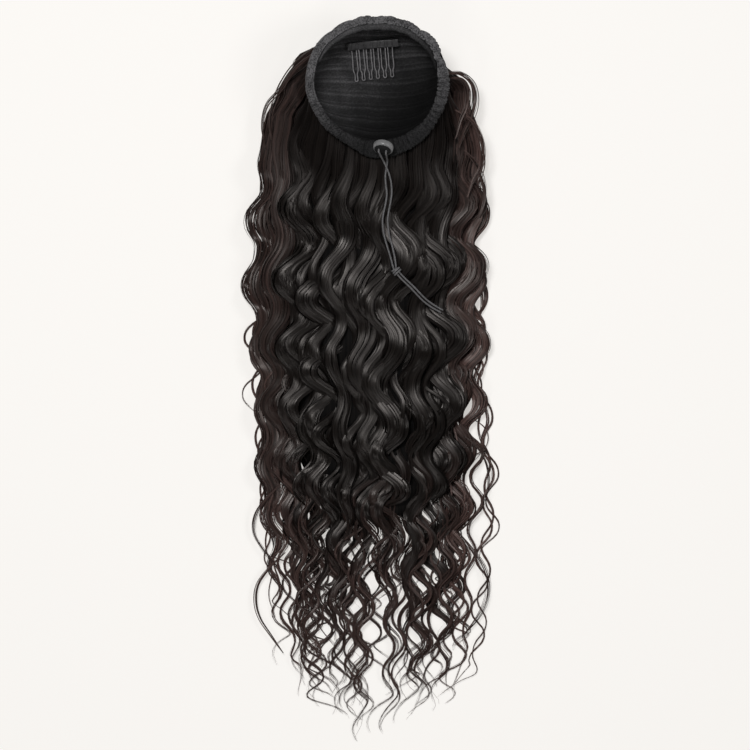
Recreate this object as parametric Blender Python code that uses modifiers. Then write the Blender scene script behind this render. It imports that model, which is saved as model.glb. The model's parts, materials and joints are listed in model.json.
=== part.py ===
"""A drawstring ponytail hairpiece, laid on its back with the mouth of its cap upwards.

X runs across the hair, -Y from the cap to the tips, and Z up from the surface that it lies on.
The origin is on that surface, under the middle of the whole piece. Units are metres.
"""

import math
from collections import namedtuple

import bmesh
import bpy
from mathutils import Matrix, Vector

MM = 0.001
TURN = 2 * math.pi
CLEARANCE = 0.3 * MM

# The cap: a soft net bowl, seen from above
CAP_CENTRE = Vector((5.4, 261.5, 0)) * MM
NET_THICKNESS = 1.6 * MM
NET_FLOOR = 10.6 * MM
NET_ROUNDNESS = 2.4
NET_DEPTH_SHARE = 0.8
NET_PROFILE_STEPS = 40
WEFT_ROWS = 12
WEFT_RIDGE = 1.1 * MM
WEFT_STEPS = 3
NET_COLUMNS = 12

# The gathered casing round the mouth: one row for each direction from the cap's centre
CasingStation = namedtuple("CasingStation", "degrees inner outer middle_height pucker")
CASING = [
    CasingStation(0, 53.5, 65.5, 59.0, 1.3),
    CasingStation(30, 56.5, 64.5, 59.5, 0.9),
    CasingStation(60, 55.5, 63.0, 60.0, 0.8),
    CasingStation(90, 53.0, 61.5, 60.0, 0.9),
    CasingStation(120, 54.5, 63.0, 60.0, 0.6),
    CasingStation(150, 56.5, 65.0, 59.5, 0.4),
    CasingStation(180, 56.0, 64.5, 59.0, 0.5),
    CasingStation(210, 52.0, 62.0, 58.0, 0.8),
    CasingStation(240, 50.5, 60.5, 56.0, 0.9),
    CasingStation(270, 49.5, 66.5, 53.5, 0.7),
    CasingStation(300, 50.5, 65.5, 54.5, 0.9),
    CasingStation(330, 52.5, 64.0, 57.5, 1.3),
]
CASING_THICKNESS = 5.0 * MM
CASING_STEPS = 108
CASING_SIDES = 6
PUCKERS = 36
SCALLOPS = 18
SCALLOP_TURN = math.radians(4)

# The wire comb sewn inside the net
COMB_MIDDLE = CAP_CENTRE + Vector((-3.6, 39.0, 0)) * MM
COMB_TURN = math.radians(5)
COMB_SLOPE = math.radians(15)
COMB_BEND_RADIUS = 80 * MM
COMB_LIFT = 24.6 * MM
SPINE = Vector((46, 7.2, 2.2)) * MM
SPINE_EDGE = 0.5 * MM
SPINE_CUTS = 11
TINES = 6
TINE_PITCH = 6.5 * MM
TINE_SHIFT = 1.4 * MM
TINE_LENGTH = 29 * MM
TINE_WIRE = 0.9 * MM
TINE_SHOULDER = 2.2 * MM
TINE_TIP = 1.3 * MM

# The cord lock: a round disc with two bores
LOCK_CENTRE = CAP_CENTRE + Vector((5.6, -57.0, 65.0)) * MM
LOCK_TILT = math.radians(30)
LOCK_TURN = math.radians(-12)
LOCK_DIAMETER = 18.4 * MM
LOCK_THICKNESS = 6.6 * MM
LOCK_EDGE = 2.2 * MM
LOCK_BORE = 2.6 * MM
LOCK_BORE_SPACING = 6.6 * MM

# The elastic cord: its left strand crosses over the right one, both meet in a knot, and two tails leave it
CORD_DIAMETER = 1.7 * MM
CORD_STEP = 4.6 * MM
LEFT_STRAND = [
    (7.5, 204.1, 65.7),
    (6.8, 200.7, 67.7),
    (9.0, 196.5, 62.0),
    (11.6, 192.0, 55.5),
    (13.8, 187.5, 53.9),
    (16.5, 180.5, 51.0),
    (18.2, 172.5, 48.9),
    (18.5, 163.5, 47.8),
    (17.2, 155.0, 47.3),
    (15.5, 146.0, 46.8),
    (14.9, 139.5, 46.1),
    (15.6, 132.0, 45.2),
    (17.0, 124.5, 44.3),
    (19.2, 116.5, 43.9),
    (21.4, 106.5, 44.0),
    (22.4, 98.6, 45.3),
]
RIGHT_STRAND = [
    (14.0, 202.7, 65.7),
    (13.3, 199.3, 67.7),
    (14.0, 196.0, 61.5),
    (14.6, 192.5, 53.5),
    (13.8, 187.0, 51.4),
    (12.9, 180.5, 50.9),
    (13.2, 172.5, 50.0),
    (14.2, 163.5, 48.9),
    (13.0, 155.0, 48.3),
    (11.1, 146.0, 47.7),
    (10.3, 139.5, 47.0),
    (10.8, 132.0, 46.0),
    (12.4, 124.5, 44.6),
    (14.7, 116.5, 43.4),
    (17.7, 106.5, 43.6),
    (20.2, 97.0, 45.3),
]
LEFT_TAIL = [
    (23.8, 91.6, 45.3),
    (25.8, 89.3, 44.6),
    (28.0, 87.0, 44.0),
    (30.5, 84.7, 43.4),
    (33.0, 82.3, 42.7),
    (35.6, 79.8, 41.9),
    (38.2, 77.1, 41.0),
    (40.7, 74.4, 40.3),
    (43.3, 71.7, 39.4),
    (46.0, 69.0, 38.3),
    (48.8, 66.6, 37.2),
    (51.9, 64.3, 36.1),
    (55.3, 62.1, 35.1),
    (59.0, 60.0, 33.7),
    (63.0, 57.8, 32.2),
]
RIGHT_TAIL = [
    (26.0, 93.2, 45.3),
    (27.8, 91.0, 44.6),
    (30.0, 88.8, 43.8),
    (32.4, 86.5, 43.0),
    (34.9, 84.2, 42.3),
    (37.5, 81.8, 41.5),
    (40.1, 79.2, 41.0),
    (42.6, 76.5, 40.8),
    (45.2, 73.8, 39.7),
    (47.9, 71.2, 38.5),
    (50.6, 68.8, 37.3),
    (53.6, 66.5, 36.2),
    (57.0, 64.3, 35.2),
    (60.7, 62.1, 33.7),
    (64.8, 60.0, 32.2),
]
KNOT_MIDDLE = Vector((23.0, 95.0, 45.3)) * MM
KNOT_SIZE = Vector((8.6, 6.2, 5.0)) * MM
KNOT_TURN = math.radians(35)

# The hair mass: one row for each cross-section, from above the cap to the tips
HairSection = namedtuple("HairSection", "along left right top")
HAIR_SECTIONS = [
    HairSection(320, -14, 26, 3),
    HairSection(305, -40, 52, 9),
    HairSection(285, -62, 74, 20),
    HairSection(259, -78, 94, 38),
    HairSection(232, -91, 98, 45),
    HairSection(205, -97, 100, 48),
    HairSection(160, -103, 103, 48),
    HairSection(93, -109, 105, 44),
    HairSection(34, -109, 107, 40),
    HairSection(-20, -106, 106, 36),
    HairSection(-65, -104, 108, 32),
    HairSection(-110, -103, 109, 27),
    HairSection(-155, -101, 106, 21),
    HairSection(-200, -99, 106, 15),
    HairSection(-245, -95, 106, 11),
    HairSection(-290, -80, 92, 8),
    HairSection(-330, -40, 46, 6),
]
MOUND_ROUNDNESS = 3
BACKING_NARROWS = -40 * MM
BACKING_END = -185 * MM
BACKING_SINK = 8 * MM
BACKING_SIDE_INSET = 9 * MM
BACKING_LEAST_HEIGHT = 2.4 * MM
BACKING_END_SHARE = 0.97
BACKING_STEPS = 24
BACKING_SIDES = 9
CROWN_DEPTH = 5 * MM
CROWN_RIM_DEPTH = 1.4 * MM
CROWN_AROUND = 64
CROWN_LOCKS = 32
CROWN_RIPPLE = 0.9 * MM
CROWN_RINGS = [(0.2, 1.0), (0.45, 1.0), (0.6, 1.0), (0.72, 0.9), (0.84, 0.6), (0.97, 0.0)]
BOWL_ROOM_RINGS = [0.15, 0.35, 0.5, 0.6, 0.7, 0.8, 0.9, 1.0]
CASING_ROOM = 2 * MM
ABOVE_ALL = 90 * MM

# The locks that are fused to it
Lock = namedtuple("Lock", "across tip_across tip_along half_width")
TOP_LOCKS = [
    Lock(-0.87, -0.84, -262, 9.5),
    Lock(-0.73, -0.80, -292, 10.5),
    Lock(-0.58, -0.46, -284, 10.5),
    Lock(-0.41, -0.50, -318, 10.5),
    Lock(-0.24, -0.10, -323, 10.5),
    Lock(-0.08, -0.30, -306, 10.5),
    Lock(0.09, 0.16, -323, 10.5),
    Lock(0.26, 0.10, -300, 10.5),
    Lock(0.43, 0.42, -296, 10.5),
    Lock(0.60, 0.70, -284, 10.5),
    Lock(0.76, 0.62, -290, 10.5),
    Lock(0.91, 0.86, -270, 9.5),
]
UNDER_LOCKS = [
    Lock(-0.84, -0.90, -226, 8.5),
    Lock(-0.50, -0.66, -262, 8.5),
    Lock(-0.20, -0.36, -250, 8.5),
    Lock(0.16, 0.02, -268, 8.5),
    Lock(0.50, 0.56, -252, 8.5),
    Lock(0.84, 0.96, -246, 8.5),
]
LOCK_FLATNESS = 0.72
LOCK_TIP_SHARE = 0.16
LOCK_TAPER_START = 0.50
RINGS_PER_WAVE = 5
TOP_SIDES = 5
UNDER_SIDES = 5
UNDER_START = -70 * MM
HAIR_TRIANGLES = 5100
ROOT_RADIUS = 57 * MM
ROOT_SPREAD = math.radians(98)
ROOT_HEIGHT = 44 * MM
ROOT_BLEND = 62 * MM

# The wave in the hair: the places along it where its locks stand furthest out to their side
WAVE_CRESTS = [257, 201, 153, 84, 23, -24, -78, -121, -162, -202, -240, -276, -312, -346]
WAVE_WIDTH = 6.5 * MM
WAVE_LIFT = 0.35
WAVE_BEGINS = 30 * MM
WAVE_FULL = 170 * MM
WAVE_DRIFT = 0.6


def clear_scene():
    for item in list(bpy.data.objects):
        bpy.data.objects.remove(item)


def collection(name):
    made = bpy.data.collections.new(name)
    bpy.context.scene.collection.children.link(made)
    return made


def material(name, colour, roughness, metallic=0.0):
    made = bpy.data.materials.new(name)
    made.use_nodes = True
    shader = made.node_tree.nodes["Principled BSDF"]
    shader.inputs["Base Color"].default_value = (*colour, 1)
    shader.inputs["Roughness"].default_value = roughness
    shader.inputs["Metallic"].default_value = metallic
    return made


def place(name, mesh, where, finish=None):
    """A new object of that mesh in a collection, shaded smooth apart from its sharp edges."""
    made = bpy.data.objects.new(name, mesh)
    where.objects.link(made)
    if finish:
        mesh.materials.append(finish)
    mesh.shade_smooth()
    mesh.set_sharp_from_angle(angle=math.radians(50))
    return made


def helper(name, mesh, where):
    """A cutter or a shape to be joined: it isn't part of the render."""
    made = place(name, mesh, where)
    made.hide_render = True
    made.display_type = "WIRE"
    return made


def between(rows, column, key, value):
    """The smooth value of a table's column where its key column has this value."""
    if value <= getattr(rows[0], key):
        return getattr(rows[0], column)
    for before, after in zip(rows, rows[1:]):
        low, high = getattr(before, key), getattr(after, key)
        if value <= high:
            share = (value - low) / (high - low)
            share = share * share * (3 - 2 * share)
            start, end = getattr(before, column), getattr(after, column)
            return start + (end - start) * share
    return getattr(rows[-1], column)


def smooth_step(value):
    value = min(1.0, max(0.0, value))
    return value * value * (3 - 2 * value)


def loft(name, rings, joined=False):
    """A closed solid through rings of points: capped at its ends, or its last ring joined to its first."""
    shape = bmesh.new()
    made = [[shape.verts.new(point) for point in ring] for ring in rings]
    pairs = list(zip(made, made[1:]))
    if joined:
        pairs.append((made[-1], made[0]))
    else:
        shape.faces.new(made[0])
        shape.faces.new(made[-1])
    sides = len(made[0])
    for first, second in pairs:
        for i in range(sides):
            after = (i + 1) % sides
            shape.faces.new((first[i], first[after], second[after], second[i]))
    bmesh.ops.recalc_face_normals(shape, faces=shape.faces)
    bmesh.ops.triangulate(shape, faces=shape.faces)
    mesh = bpy.data.meshes.new(name)
    shape.to_mesh(mesh)
    shape.free()
    return mesh


# The cap


def casing_at(angle):
    """The casing's inner and outer radius, middle height and pucker, in one direction."""
    degrees = math.degrees(angle) % 360
    rows = [*CASING, CASING[0]._replace(degrees=360)]
    names = ("inner", "outer", "middle_height", "pucker")
    return [between(rows, name, "degrees", degrees) * MM for name in names]


def net_profile(share):
    """How far out, and how far down, the bowl is at a share of the way from its apex to its edge."""
    points = []
    for i in range(NET_PROFILE_STEPS + 1):
        quarter = TURN / 4 * i / NET_PROFILE_STEPS
        out = math.sin(quarter) ** (2 / NET_ROUNDNESS)
        down = max(0.0, math.cos(quarter)) ** (2 / NET_ROUNDNESS)
        points.append(Vector((out, down * NET_DEPTH_SHARE)))
    reached = [0.0]
    for first, second in zip(points, points[1:]):
        reached.append(reached[-1] + (second - first).length)
    wanted = share * reached[-1]
    for i in range(NET_PROFILE_STEPS):
        if wanted <= reached[i + 1]:
            part = (wanted - reached[i]) / (reached[i + 1] - reached[i])
            found = points[i].lerp(points[i + 1], part)
            return found.x, found.y / NET_DEPTH_SHARE
    return 1.0, 0.0


def net_point(across, along, spare=0.0):
    """A point of the bowl's inner surface from a square of -1 to 1, moved outwards by spare."""
    x = across * math.sqrt(1 - along * along / 2)
    y = along * math.sqrt(1 - across * across / 2)
    angle = math.atan2(y, x)
    out, down = net_profile(min(1.0, math.hypot(x, y)))
    inner, outer, middle, _ = casing_at(angle)
    edge = middle - CASING_THICKNESS / 2 - CLEARANCE
    radius = (inner + outer) / 2 * out + spare * out
    height = edge - (edge - NET_FLOOR) * down - spare * down
    return CAP_CENTRE + Vector((radius * math.cos(angle), radius * math.sin(angle), height))


def build_net(parts, finish):
    """The stretch net: an open bowl, with a ridge on each row where a weft is sewn on."""
    shape = bmesh.new()
    rows = WEFT_ROWS * WEFT_STEPS
    bmesh.ops.create_grid(shape, x_segments=NET_COLUMNS, y_segments=rows, size=1)
    for vertex in shape.verts:
        across, along = vertex.co.x, vertex.co.y
        row = round((along + 1) / 2 * rows)
        inside = min(1 - abs(across), 1 - abs(along)) > 0.01
        ridge = WEFT_RIDGE if row % WEFT_STEPS == 0 and inside else 0.0
        vertex.co = net_point(across, along, -ridge)
    mesh = bpy.data.meshes.new("cap_net")
    shape.to_mesh(mesh)
    shape.free()
    net = place("cap_net", mesh, parts, finish)
    wall = net.modifiers.new("wall", "SOLIDIFY")
    wall.thickness = NET_THICKNESS
    wall.offset = -1
    wall.use_even_offset = True
    wall.use_quality_normals = True
    return net


def build_casing(parts, finish):
    """The hem that the drawstring runs in, puckered where the cord draws it in."""
    rings = []
    for step in range(CASING_STEPS):
        angle = TURN * step / CASING_STEPS
        inner, outer, middle, pucker = casing_at(angle)
        ripple = 0.5 * math.sin(PUCKERS * angle) + 0.8 * math.sin(SCALLOPS * (angle + SCALLOP_TURN))
        half_width = (outer - inner) / 2 + pucker * 0.4 * ripple
        half_height = CASING_THICKNESS / 2 * (1 + 0.16 * math.cos(PUCKERS * angle))
        half_height = min(half_height, CASING_THICKNESS / 2)
        radius = (inner + outer) / 2 + pucker * 0.5 * ripple
        ring = []
        for side in range(CASING_SIDES):
            turn = TURN * (side + 0.5) / CASING_SIDES
            out = radius + half_width * math.cos(turn)
            height = middle + half_height * math.sin(turn) / math.sin(TURN / 4)
            ring.append(CAP_CENTRE + Vector((out * math.cos(angle), out * math.sin(angle), height)))
        rings.append(ring)
    return place("drawstring_casing", loft("drawstring_casing", rings, joined=True), parts, finish)


# The comb


def comb_place(point):
    """A point of the flat comb, bent to follow the bowl, sloped and turned into place."""
    rise = COMB_BEND_RADIUS * (1 - math.cos(point.x / COMB_BEND_RADIUS))
    bent = Vector((point.x, point.y, point.z + rise))
    sloped = Matrix.Rotation(COMB_SLOPE, 3, "X") @ bent
    turned = Matrix.Rotation(COMB_TURN, 3, "Z") @ sloped
    return COMB_MIDDLE + turned + Vector((0, 0, COMB_LIFT))


def tine_route(middle):
    """One wire loop: down from the spine, narrowing past its shoulder, round the tip and back."""
    top = -SPINE.y / 2 + 1.5 * MM
    shoulder = -SPINE.y / 2 - 0.62 * TINE_LENGTH
    waist = -SPINE.y / 2 - 0.76 * TINE_LENGTH
    tip = -SPINE.y / 2 - TINE_LENGTH + TINE_TIP
    left = [(-TINE_SHOULDER, top), (-TINE_SHOULDER, shoulder), (-TINE_TIP, waist), (-TINE_TIP, tip)]
    bow = [(TINE_TIP * math.sin(a), tip - TINE_TIP * math.cos(a)) for a in (-0.8, 0.0, 0.8)]
    right = [(-x, y) for x, y in reversed(left)]
    return [Vector((middle + x, y, 0)) for x, y in left + bow + right]


def wire(name, points, diameter, where, resolution=1):
    """A round wire through points as a closed mesh, left out of the render."""
    curve = bpy.data.curves.new(name, "CURVE")
    curve.dimensions = "3D"
    curve.bevel_depth = diameter / 2
    curve.bevel_resolution = resolution
    curve.use_fill_caps = True
    spline = curve.splines.new("POLY")
    spline.points.add(len(points) - 1)
    for target, point in zip(spline.points, points):
        target.co = (*point, 1)
    bent = bpy.data.objects.new(name, curve)
    where.objects.link(bent)
    bpy.context.view_layer.update()
    mesh = bpy.data.meshes.new_from_object(bent.evaluated_get(bpy.context.evaluated_depsgraph_get()))
    shape = bmesh.new()
    shape.from_mesh(mesh)
    bmesh.ops.remove_doubles(shape, verts=shape.verts, dist=0.01 * MM)
    bmesh.ops.recalc_face_normals(shape, faces=shape.faces)
    shape.to_mesh(mesh)
    shape.free()
    bpy.data.objects.remove(bent)
    return mesh


def build_comb(parts, cutters, finish):
    """The spine with its wire tines, one piece of metal."""
    shape = bmesh.new()
    bmesh.ops.create_cube(shape, size=1, matrix=Matrix.Diagonal((*SPINE, 1)))
    long_edges = [e for e in shape.edges if abs(e.verts[0].co.x - e.verts[1].co.x) > SPINE.x / 2]
    bmesh.ops.bevel(shape, geom=long_edges, offset=SPINE_EDGE, segments=1, affect="EDGES")
    long_edges = [e for e in shape.edges if abs(e.verts[0].co.x - e.verts[1].co.x) > SPINE.x / 2]
    bmesh.ops.subdivide_edges(shape, edges=long_edges, cuts=SPINE_CUTS)
    for vertex in shape.verts:
        vertex.co = comb_place(vertex.co)
    mesh = bpy.data.meshes.new("comb")
    shape.to_mesh(mesh)
    shape.free()
    comb = place("comb", mesh, parts, finish)
    tines = collection("comb_tines")
    cutters.children.link(tines)
    bpy.context.scene.collection.children.unlink(tines)
    for i in range(TINES):
        middle = (i - (TINES - 1) / 2) * TINE_PITCH + TINE_SHIFT
        route = [comb_place(point) for point in tine_route(middle)]
        helper(f"tine_{i}", wire(f"tine_{i}", route, TINE_WIRE, cutters), tines)
    join = comb.modifiers.new("tines", "BOOLEAN")
    join.operation = "UNION"
    join.operand_type = "COLLECTION"
    join.collection = tines
    return comb


# The cord lock and the cord


def lock_frame():
    """The cord lock's place: its own Z is the way that the cord leaves it."""
    turned = Matrix.Rotation(LOCK_TURN, 4, "Z") @ Matrix.Rotation(TURN / 4 - LOCK_TILT, 4, "X")
    return Matrix.Translation(LOCK_CENTRE) @ turned


def build_cord_lock(parts, cutters, finish):
    shape = bmesh.new()
    bmesh.ops.create_cone(
        shape,
        cap_ends=True,
        segments=20,
        radius1=LOCK_DIAMETER / 2,
        radius2=LOCK_DIAMETER / 2,
        depth=LOCK_THICKNESS,
    )
    rims = [e for e in shape.edges if abs(e.verts[0].co.z - e.verts[1].co.z) < MM]
    bmesh.ops.bevel(shape, geom=rims, offset=LOCK_EDGE, segments=3, profile=0.5, affect="EDGES")
    mesh = bpy.data.meshes.new("cord_lock")
    shape.to_mesh(mesh)
    shape.free()
    lock = place("cord_lock", mesh, parts, finish)
    lock.matrix_world = lock_frame()
    for side, name in ((-1, "left"), (1, "right")):
        bore = bmesh.new()
        radius = LOCK_BORE / 2
        bmesh.ops.create_cone(
            bore, cap_ends=True, segments=10, radius1=radius, radius2=radius, depth=2 * LOCK_THICKNESS
        )
        drill_mesh = bpy.data.meshes.new(f"bore_{name}")
        bore.to_mesh(drill_mesh)
        bore.free()
        drill = helper(f"bore_{name}", drill_mesh, cutters)
        drill.matrix_world = lock_frame() @ Matrix.Translation((side * LOCK_BORE_SPACING / 2, 0, 0))
        cut = lock.modifiers.new(f"bore_{name}", "BOOLEAN")
        cut.operation = "DIFFERENCE"
        cut.object = drill
    return lock


def catmull_rom(points, step):
    """Points about a step apart on a smooth curve through the given ones."""
    padded = [2 * points[0] - points[1], *points, 2 * points[-1] - points[-2]]
    found = [points[0]]
    for before, start, end, after in zip(padded, padded[1:], padded[2:], padded[3:]):
        pieces = max(1, round((end - start).length / step))
        for i in range(1, pieces + 1):
            t = i / pieces
            straight = 2 * start + (end - before) * t
            bend = (2 * before - 5 * start + 4 * end - after) * t * t
            twist = (3 * start - before - 3 * end + after) * t * t * t
            found.append((straight + bend + twist) / 2)
    return found


def build_cord(parts, cutters, finish):
    """The strands from the bores to the knot's skin, the two tails that leave it, and the knot."""
    routes = {
        "cord_left_strand": LEFT_STRAND,
        "cord_right_strand": RIGHT_STRAND,
        "cord_left_tail": LEFT_TAIL,
        "cord_right_tail": RIGHT_TAIL,
    }
    for name, route in routes.items():
        points = catmull_rom([Vector(point) * MM for point in route], CORD_STEP)
        tube = wire(name, points, CORD_DIAMETER, cutters, resolution=2)
        place(name, tube, parts, finish)
    shape = bmesh.new()
    bmesh.ops.create_icosphere(shape, subdivisions=2, radius=0.5, matrix=Matrix.Diagonal((*KNOT_SIZE, 1)))
    mesh = bpy.data.meshes.new("cord_knot")
    shape.to_mesh(mesh)
    shape.free()
    knot = place("cord_knot", mesh, parts, finish)
    knot.matrix_world = Matrix.Translation(KNOT_MIDDLE) @ Matrix.Rotation(KNOT_TURN, 4, "Z")


# The hair


def waves_at(y):
    """How many waves the hair has made on its way from its first crest to a place."""
    along = y / MM
    for i, (crest, after) in enumerate(zip(WAVE_CRESTS, WAVE_CRESTS[1:])):
        if along > after:
            return i + (crest - along) / (crest - after)
    return len(WAVE_CRESTS) - 1.0


def place_after(waves):
    """Where along the hair it has made that many waves."""
    i = max(0, min(len(WAVE_CRESTS) - 2, math.floor(waves)))
    crest, after = WAVE_CRESTS[i], WAVE_CRESTS[i + 1]
    return (crest - (waves - i) * (crest - after)) * MM


def mound_edges(y):
    """The hair mass's left edge, right edge and top at a place along it."""
    rows = list(reversed(HAIR_SECTIONS))
    return [between(rows, name, "along", y / MM) * MM for name in ("left", "right", "top")]


def mound_height(x, y):
    """The top of the hair mass over a point."""
    left, right, top = mound_edges(y)
    across = (x - (left + right) / 2) / ((right - left) / 2)
    return top * max(0.0, 1 - abs(across) ** MOUND_ROUNDNESS) ** 0.5


def lock_point(lock, y, root):
    """The middle of a lock where it passes y, waving to the sides and up and down."""
    left, right, _ = mound_edges(y)
    travel = (root.y - y) / (root.y - lock.tip_along * MM)
    across = lock.across + (lock.tip_across - lock.across) * smooth_step((travel - 0.45) / 0.55)
    x = (left + right) / 2 + across * (right - left) / 2
    distance = root.y - y
    joined = smooth_step(distance / ROOT_BLEND)
    x = root.x + (x - root.x) * joined
    size = WAVE_WIDTH * smooth_step((distance - WAVE_BEGINS) / (WAVE_FULL - WAVE_BEGINS))
    phase = TURN * waves_at(y) + WAVE_DRIFT * math.sin(4 * lock.across)
    x_waved = x + math.copysign(size, lock.across) * math.cos(phase)
    thick = lock.half_width * MM * LOCK_FLATNESS * lock_taper(travel)
    resting = max(thick, mound_height(x, y) - thick + WAVE_LIFT * size * (math.cos(phase) - 1))
    z = root.z + (resting - root.z) * joined
    return Vector((x_waved, y, z))


def lock_taper(travel):
    return 1 - (1 - LOCK_TIP_SHARE) * smooth_step((travel - LOCK_TAPER_START) / (1 - LOCK_TAPER_START))


def lock_root(lock):
    """Where a lock leaves the weft on the bowl's side."""
    angle = 3 / 4 * TURN + ROOT_SPREAD * lock.across
    out = Vector((math.cos(angle), math.sin(angle), 0)) * ROOT_RADIUS
    return CAP_CENTRE + out + Vector((0, 0, ROOT_HEIGHT))


def lock_mesh(name, lock, start, sides):
    """A flattened wavy lock that narrows to its tip."""
    root = lock_root(lock)
    end = lock.tip_along * MM
    first = min(root.y, start)
    passed = [waves_at(place_along) for place_along in (first, end)]
    steps = round((passed[1] - passed[0]) * RINGS_PER_WAVE)
    waves = [passed[0] + (passed[1] - passed[0]) * i / steps for i in range(steps + 1)]
    centres = [lock_point(lock, place_after(wave), root) for wave in waves]
    rings = []
    for i, centre in enumerate(centres):
        ahead, behind = centres[min(i + 1, steps)], centres[max(i - 1, 0)]
        heading = (ahead - behind).to_2d().normalized()
        aside = Vector((-heading.y, heading.x, 0))
        travel = (root.y - centre.y) / (root.y - end)
        half_width = lock.half_width * MM * lock_taper(travel)
        ring = []
        for side in range(sides):
            turn = TURN * (side + 0.5) / sides
            out = aside * math.cos(turn) + Vector((0, 0, LOCK_FLATNESS * math.sin(turn)))
            ring.append(centre + out * half_width)
        rings.append(ring)
    return loft(name, rings)


def backing_mesh():
    """The mass behind the locks: flat below, mounded above, rounded off where the locks part."""
    rings = []
    start = HAIR_SECTIONS[0].along * MM
    for step in range(BACKING_STEPS + 1):
        y = start + (BACKING_END - start) * step / BACKING_STEPS
        left, right, _ = mound_edges(y)
        inset = min(BACKING_SIDE_INSET, (right - left) / 5)
        narrowed = max(0.0, (BACKING_NARROWS - y) / (BACKING_NARROWS - BACKING_END)) * BACKING_END_SHARE
        half = ((right - left) / 2 - inset) * math.sqrt(1 - narrowed**2)
        middle = (left + right) / 2
        ring = [Vector((middle + half, y, 0)), Vector((middle - half, y, 0))]
        for side in range(BACKING_SIDES):
            x = middle + half * (2 * side / (BACKING_SIDES - 1) - 1)
            top = max(BACKING_LEAST_HEIGHT, mound_height(x, y) - BACKING_SINK)
            ring.append(Vector((x, y, top)))
        rings.append(ring)
    return loft("hair", rings)


def bowl_ring(share, spare, around):
    """A ring round the bowl, moved outwards by spare, which is a distance or a function of the angle."""
    ring = []
    for step in range(around):
        angle = TURN * step / around
        out, down = net_profile(share)
        inner, outer, middle, _ = casing_at(angle)
        edge = middle - CASING_THICKNESS / 2 - CLEARANCE
        away = spare(angle) if callable(spare) else spare
        radius = ((inner + outer) / 2 + away) * out
        height = edge - (edge - NET_FLOOR) * down - away * down
        ring.append(CAP_CENTRE + Vector((radius * math.cos(angle), radius * math.sin(angle), height)))
    return ring


def crown_mesh():
    """The hair sewn on round the cap: a layer of flat locks that thickens below the casing."""
    rings = []
    base = NET_THICKNESS + 3 * CLEARANCE
    for share, fullness in CROWN_RINGS:
        depth = CROWN_RIM_DEPTH + (CROWN_DEPTH - CROWN_RIM_DEPTH) * fullness

        def spare(angle, depth=depth, fullness=fullness):
            return base + depth + CROWN_RIPPLE * fullness * math.sin(CROWN_LOCKS * angle)

        rings.append(bowl_ring(share, spare, CROWN_AROUND))
    return loft("crown", rings)


def bowl_cutter(cutters):
    """The bowl's outside and the room for its casing, to be taken out of the hair."""
    around = 40
    spare = NET_THICKNESS + 3 * CLEARANCE
    rings = [bowl_ring(share, spare, around) for share in BOWL_ROOM_RINGS]
    wide = []
    high = []
    for step in range(around):
        angle = TURN * step / around
        _, outer, middle, _ = casing_at(angle)
        radius = outer + CASING_ROOM
        below = middle - CASING_THICKNESS / 2 - 2 * CLEARANCE
        flat = Vector((radius * math.cos(angle), radius * math.sin(angle), 0))
        wide.append(CAP_CENTRE + flat + Vector((0, 0, below)))
        high.append(CAP_CENTRE + flat + Vector((0, 0, ABOVE_ALL)))
    return helper("bowl_space", loft("bowl_space", [*rings, wide, high]), cutters)


def apply_modifiers(item):
    bpy.context.view_layer.update()
    finished = item.evaluated_get(bpy.context.evaluated_depsgraph_get())
    mesh = bpy.data.meshes.new_from_object(finished)
    item.modifiers.clear()
    item.data = mesh


def keep_outer_shell(item):
    """Keep the outer shell only, so that gaps closed in between the locks are filled."""
    shape = bmesh.new()
    shape.from_mesh(item.data)
    waiting = set(shape.verts)
    shells = []
    while waiting:
        shell = {waiting.pop()}
        edge = list(shell)
        while edge:
            near = {e.other_vert(v) for v in edge for e in v.link_edges} - shell
            shell |= near
            edge = list(near)
        waiting -= shell
        shells.append(shell)
    shells.sort(key=len)
    for shell in shells[:-1]:
        bmesh.ops.delete(shape, geom=list(shell), context="VERTS")
    bmesh.ops.triangulate(shape, faces=shape.faces)
    shape.to_mesh(item.data)
    shape.free()


def build_hair(parts, cutters, finish):
    """All the hair as one body: its backing, the locks fused to it, less the bowl's room."""
    hair = place("hair", backing_mesh(), parts, finish)
    locks = collection("hair_locks")
    cutters.children.link(locks)
    bpy.context.scene.collection.children.unlink(locks)
    for i, lock in enumerate(TOP_LOCKS):
        helper(f"top_lock_{i}", lock_mesh(f"top_lock_{i}", lock, CAP_CENTRE.y, TOP_SIDES), locks)
    for i, lock in enumerate(UNDER_LOCKS):
        helper(f"under_lock_{i}", lock_mesh(f"under_lock_{i}", lock, UNDER_START, UNDER_SIDES), locks)
    helper("crown", crown_mesh(), locks)
    join = hair.modifiers.new("locks", "BOOLEAN")
    join.operation = "UNION"
    join.operand_type = "COLLECTION"
    join.collection = locks
    apply_modifiers(hair)
    keep_outer_shell(hair)
    thin = hair.modifiers.new("fewer_triangles", "DECIMATE")
    thin.ratio = min(1.0, HAIR_TRIANGLES / len(hair.data.polygons))
    apply_modifiers(hair)
    cut = hair.modifiers.new("bowl_space", "BOOLEAN")
    cut.operation = "DIFFERENCE"
    cut.object = bowl_cutter(cutters)
    apply_modifiers(hair)
    keep_outer_shell(hair)


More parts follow.
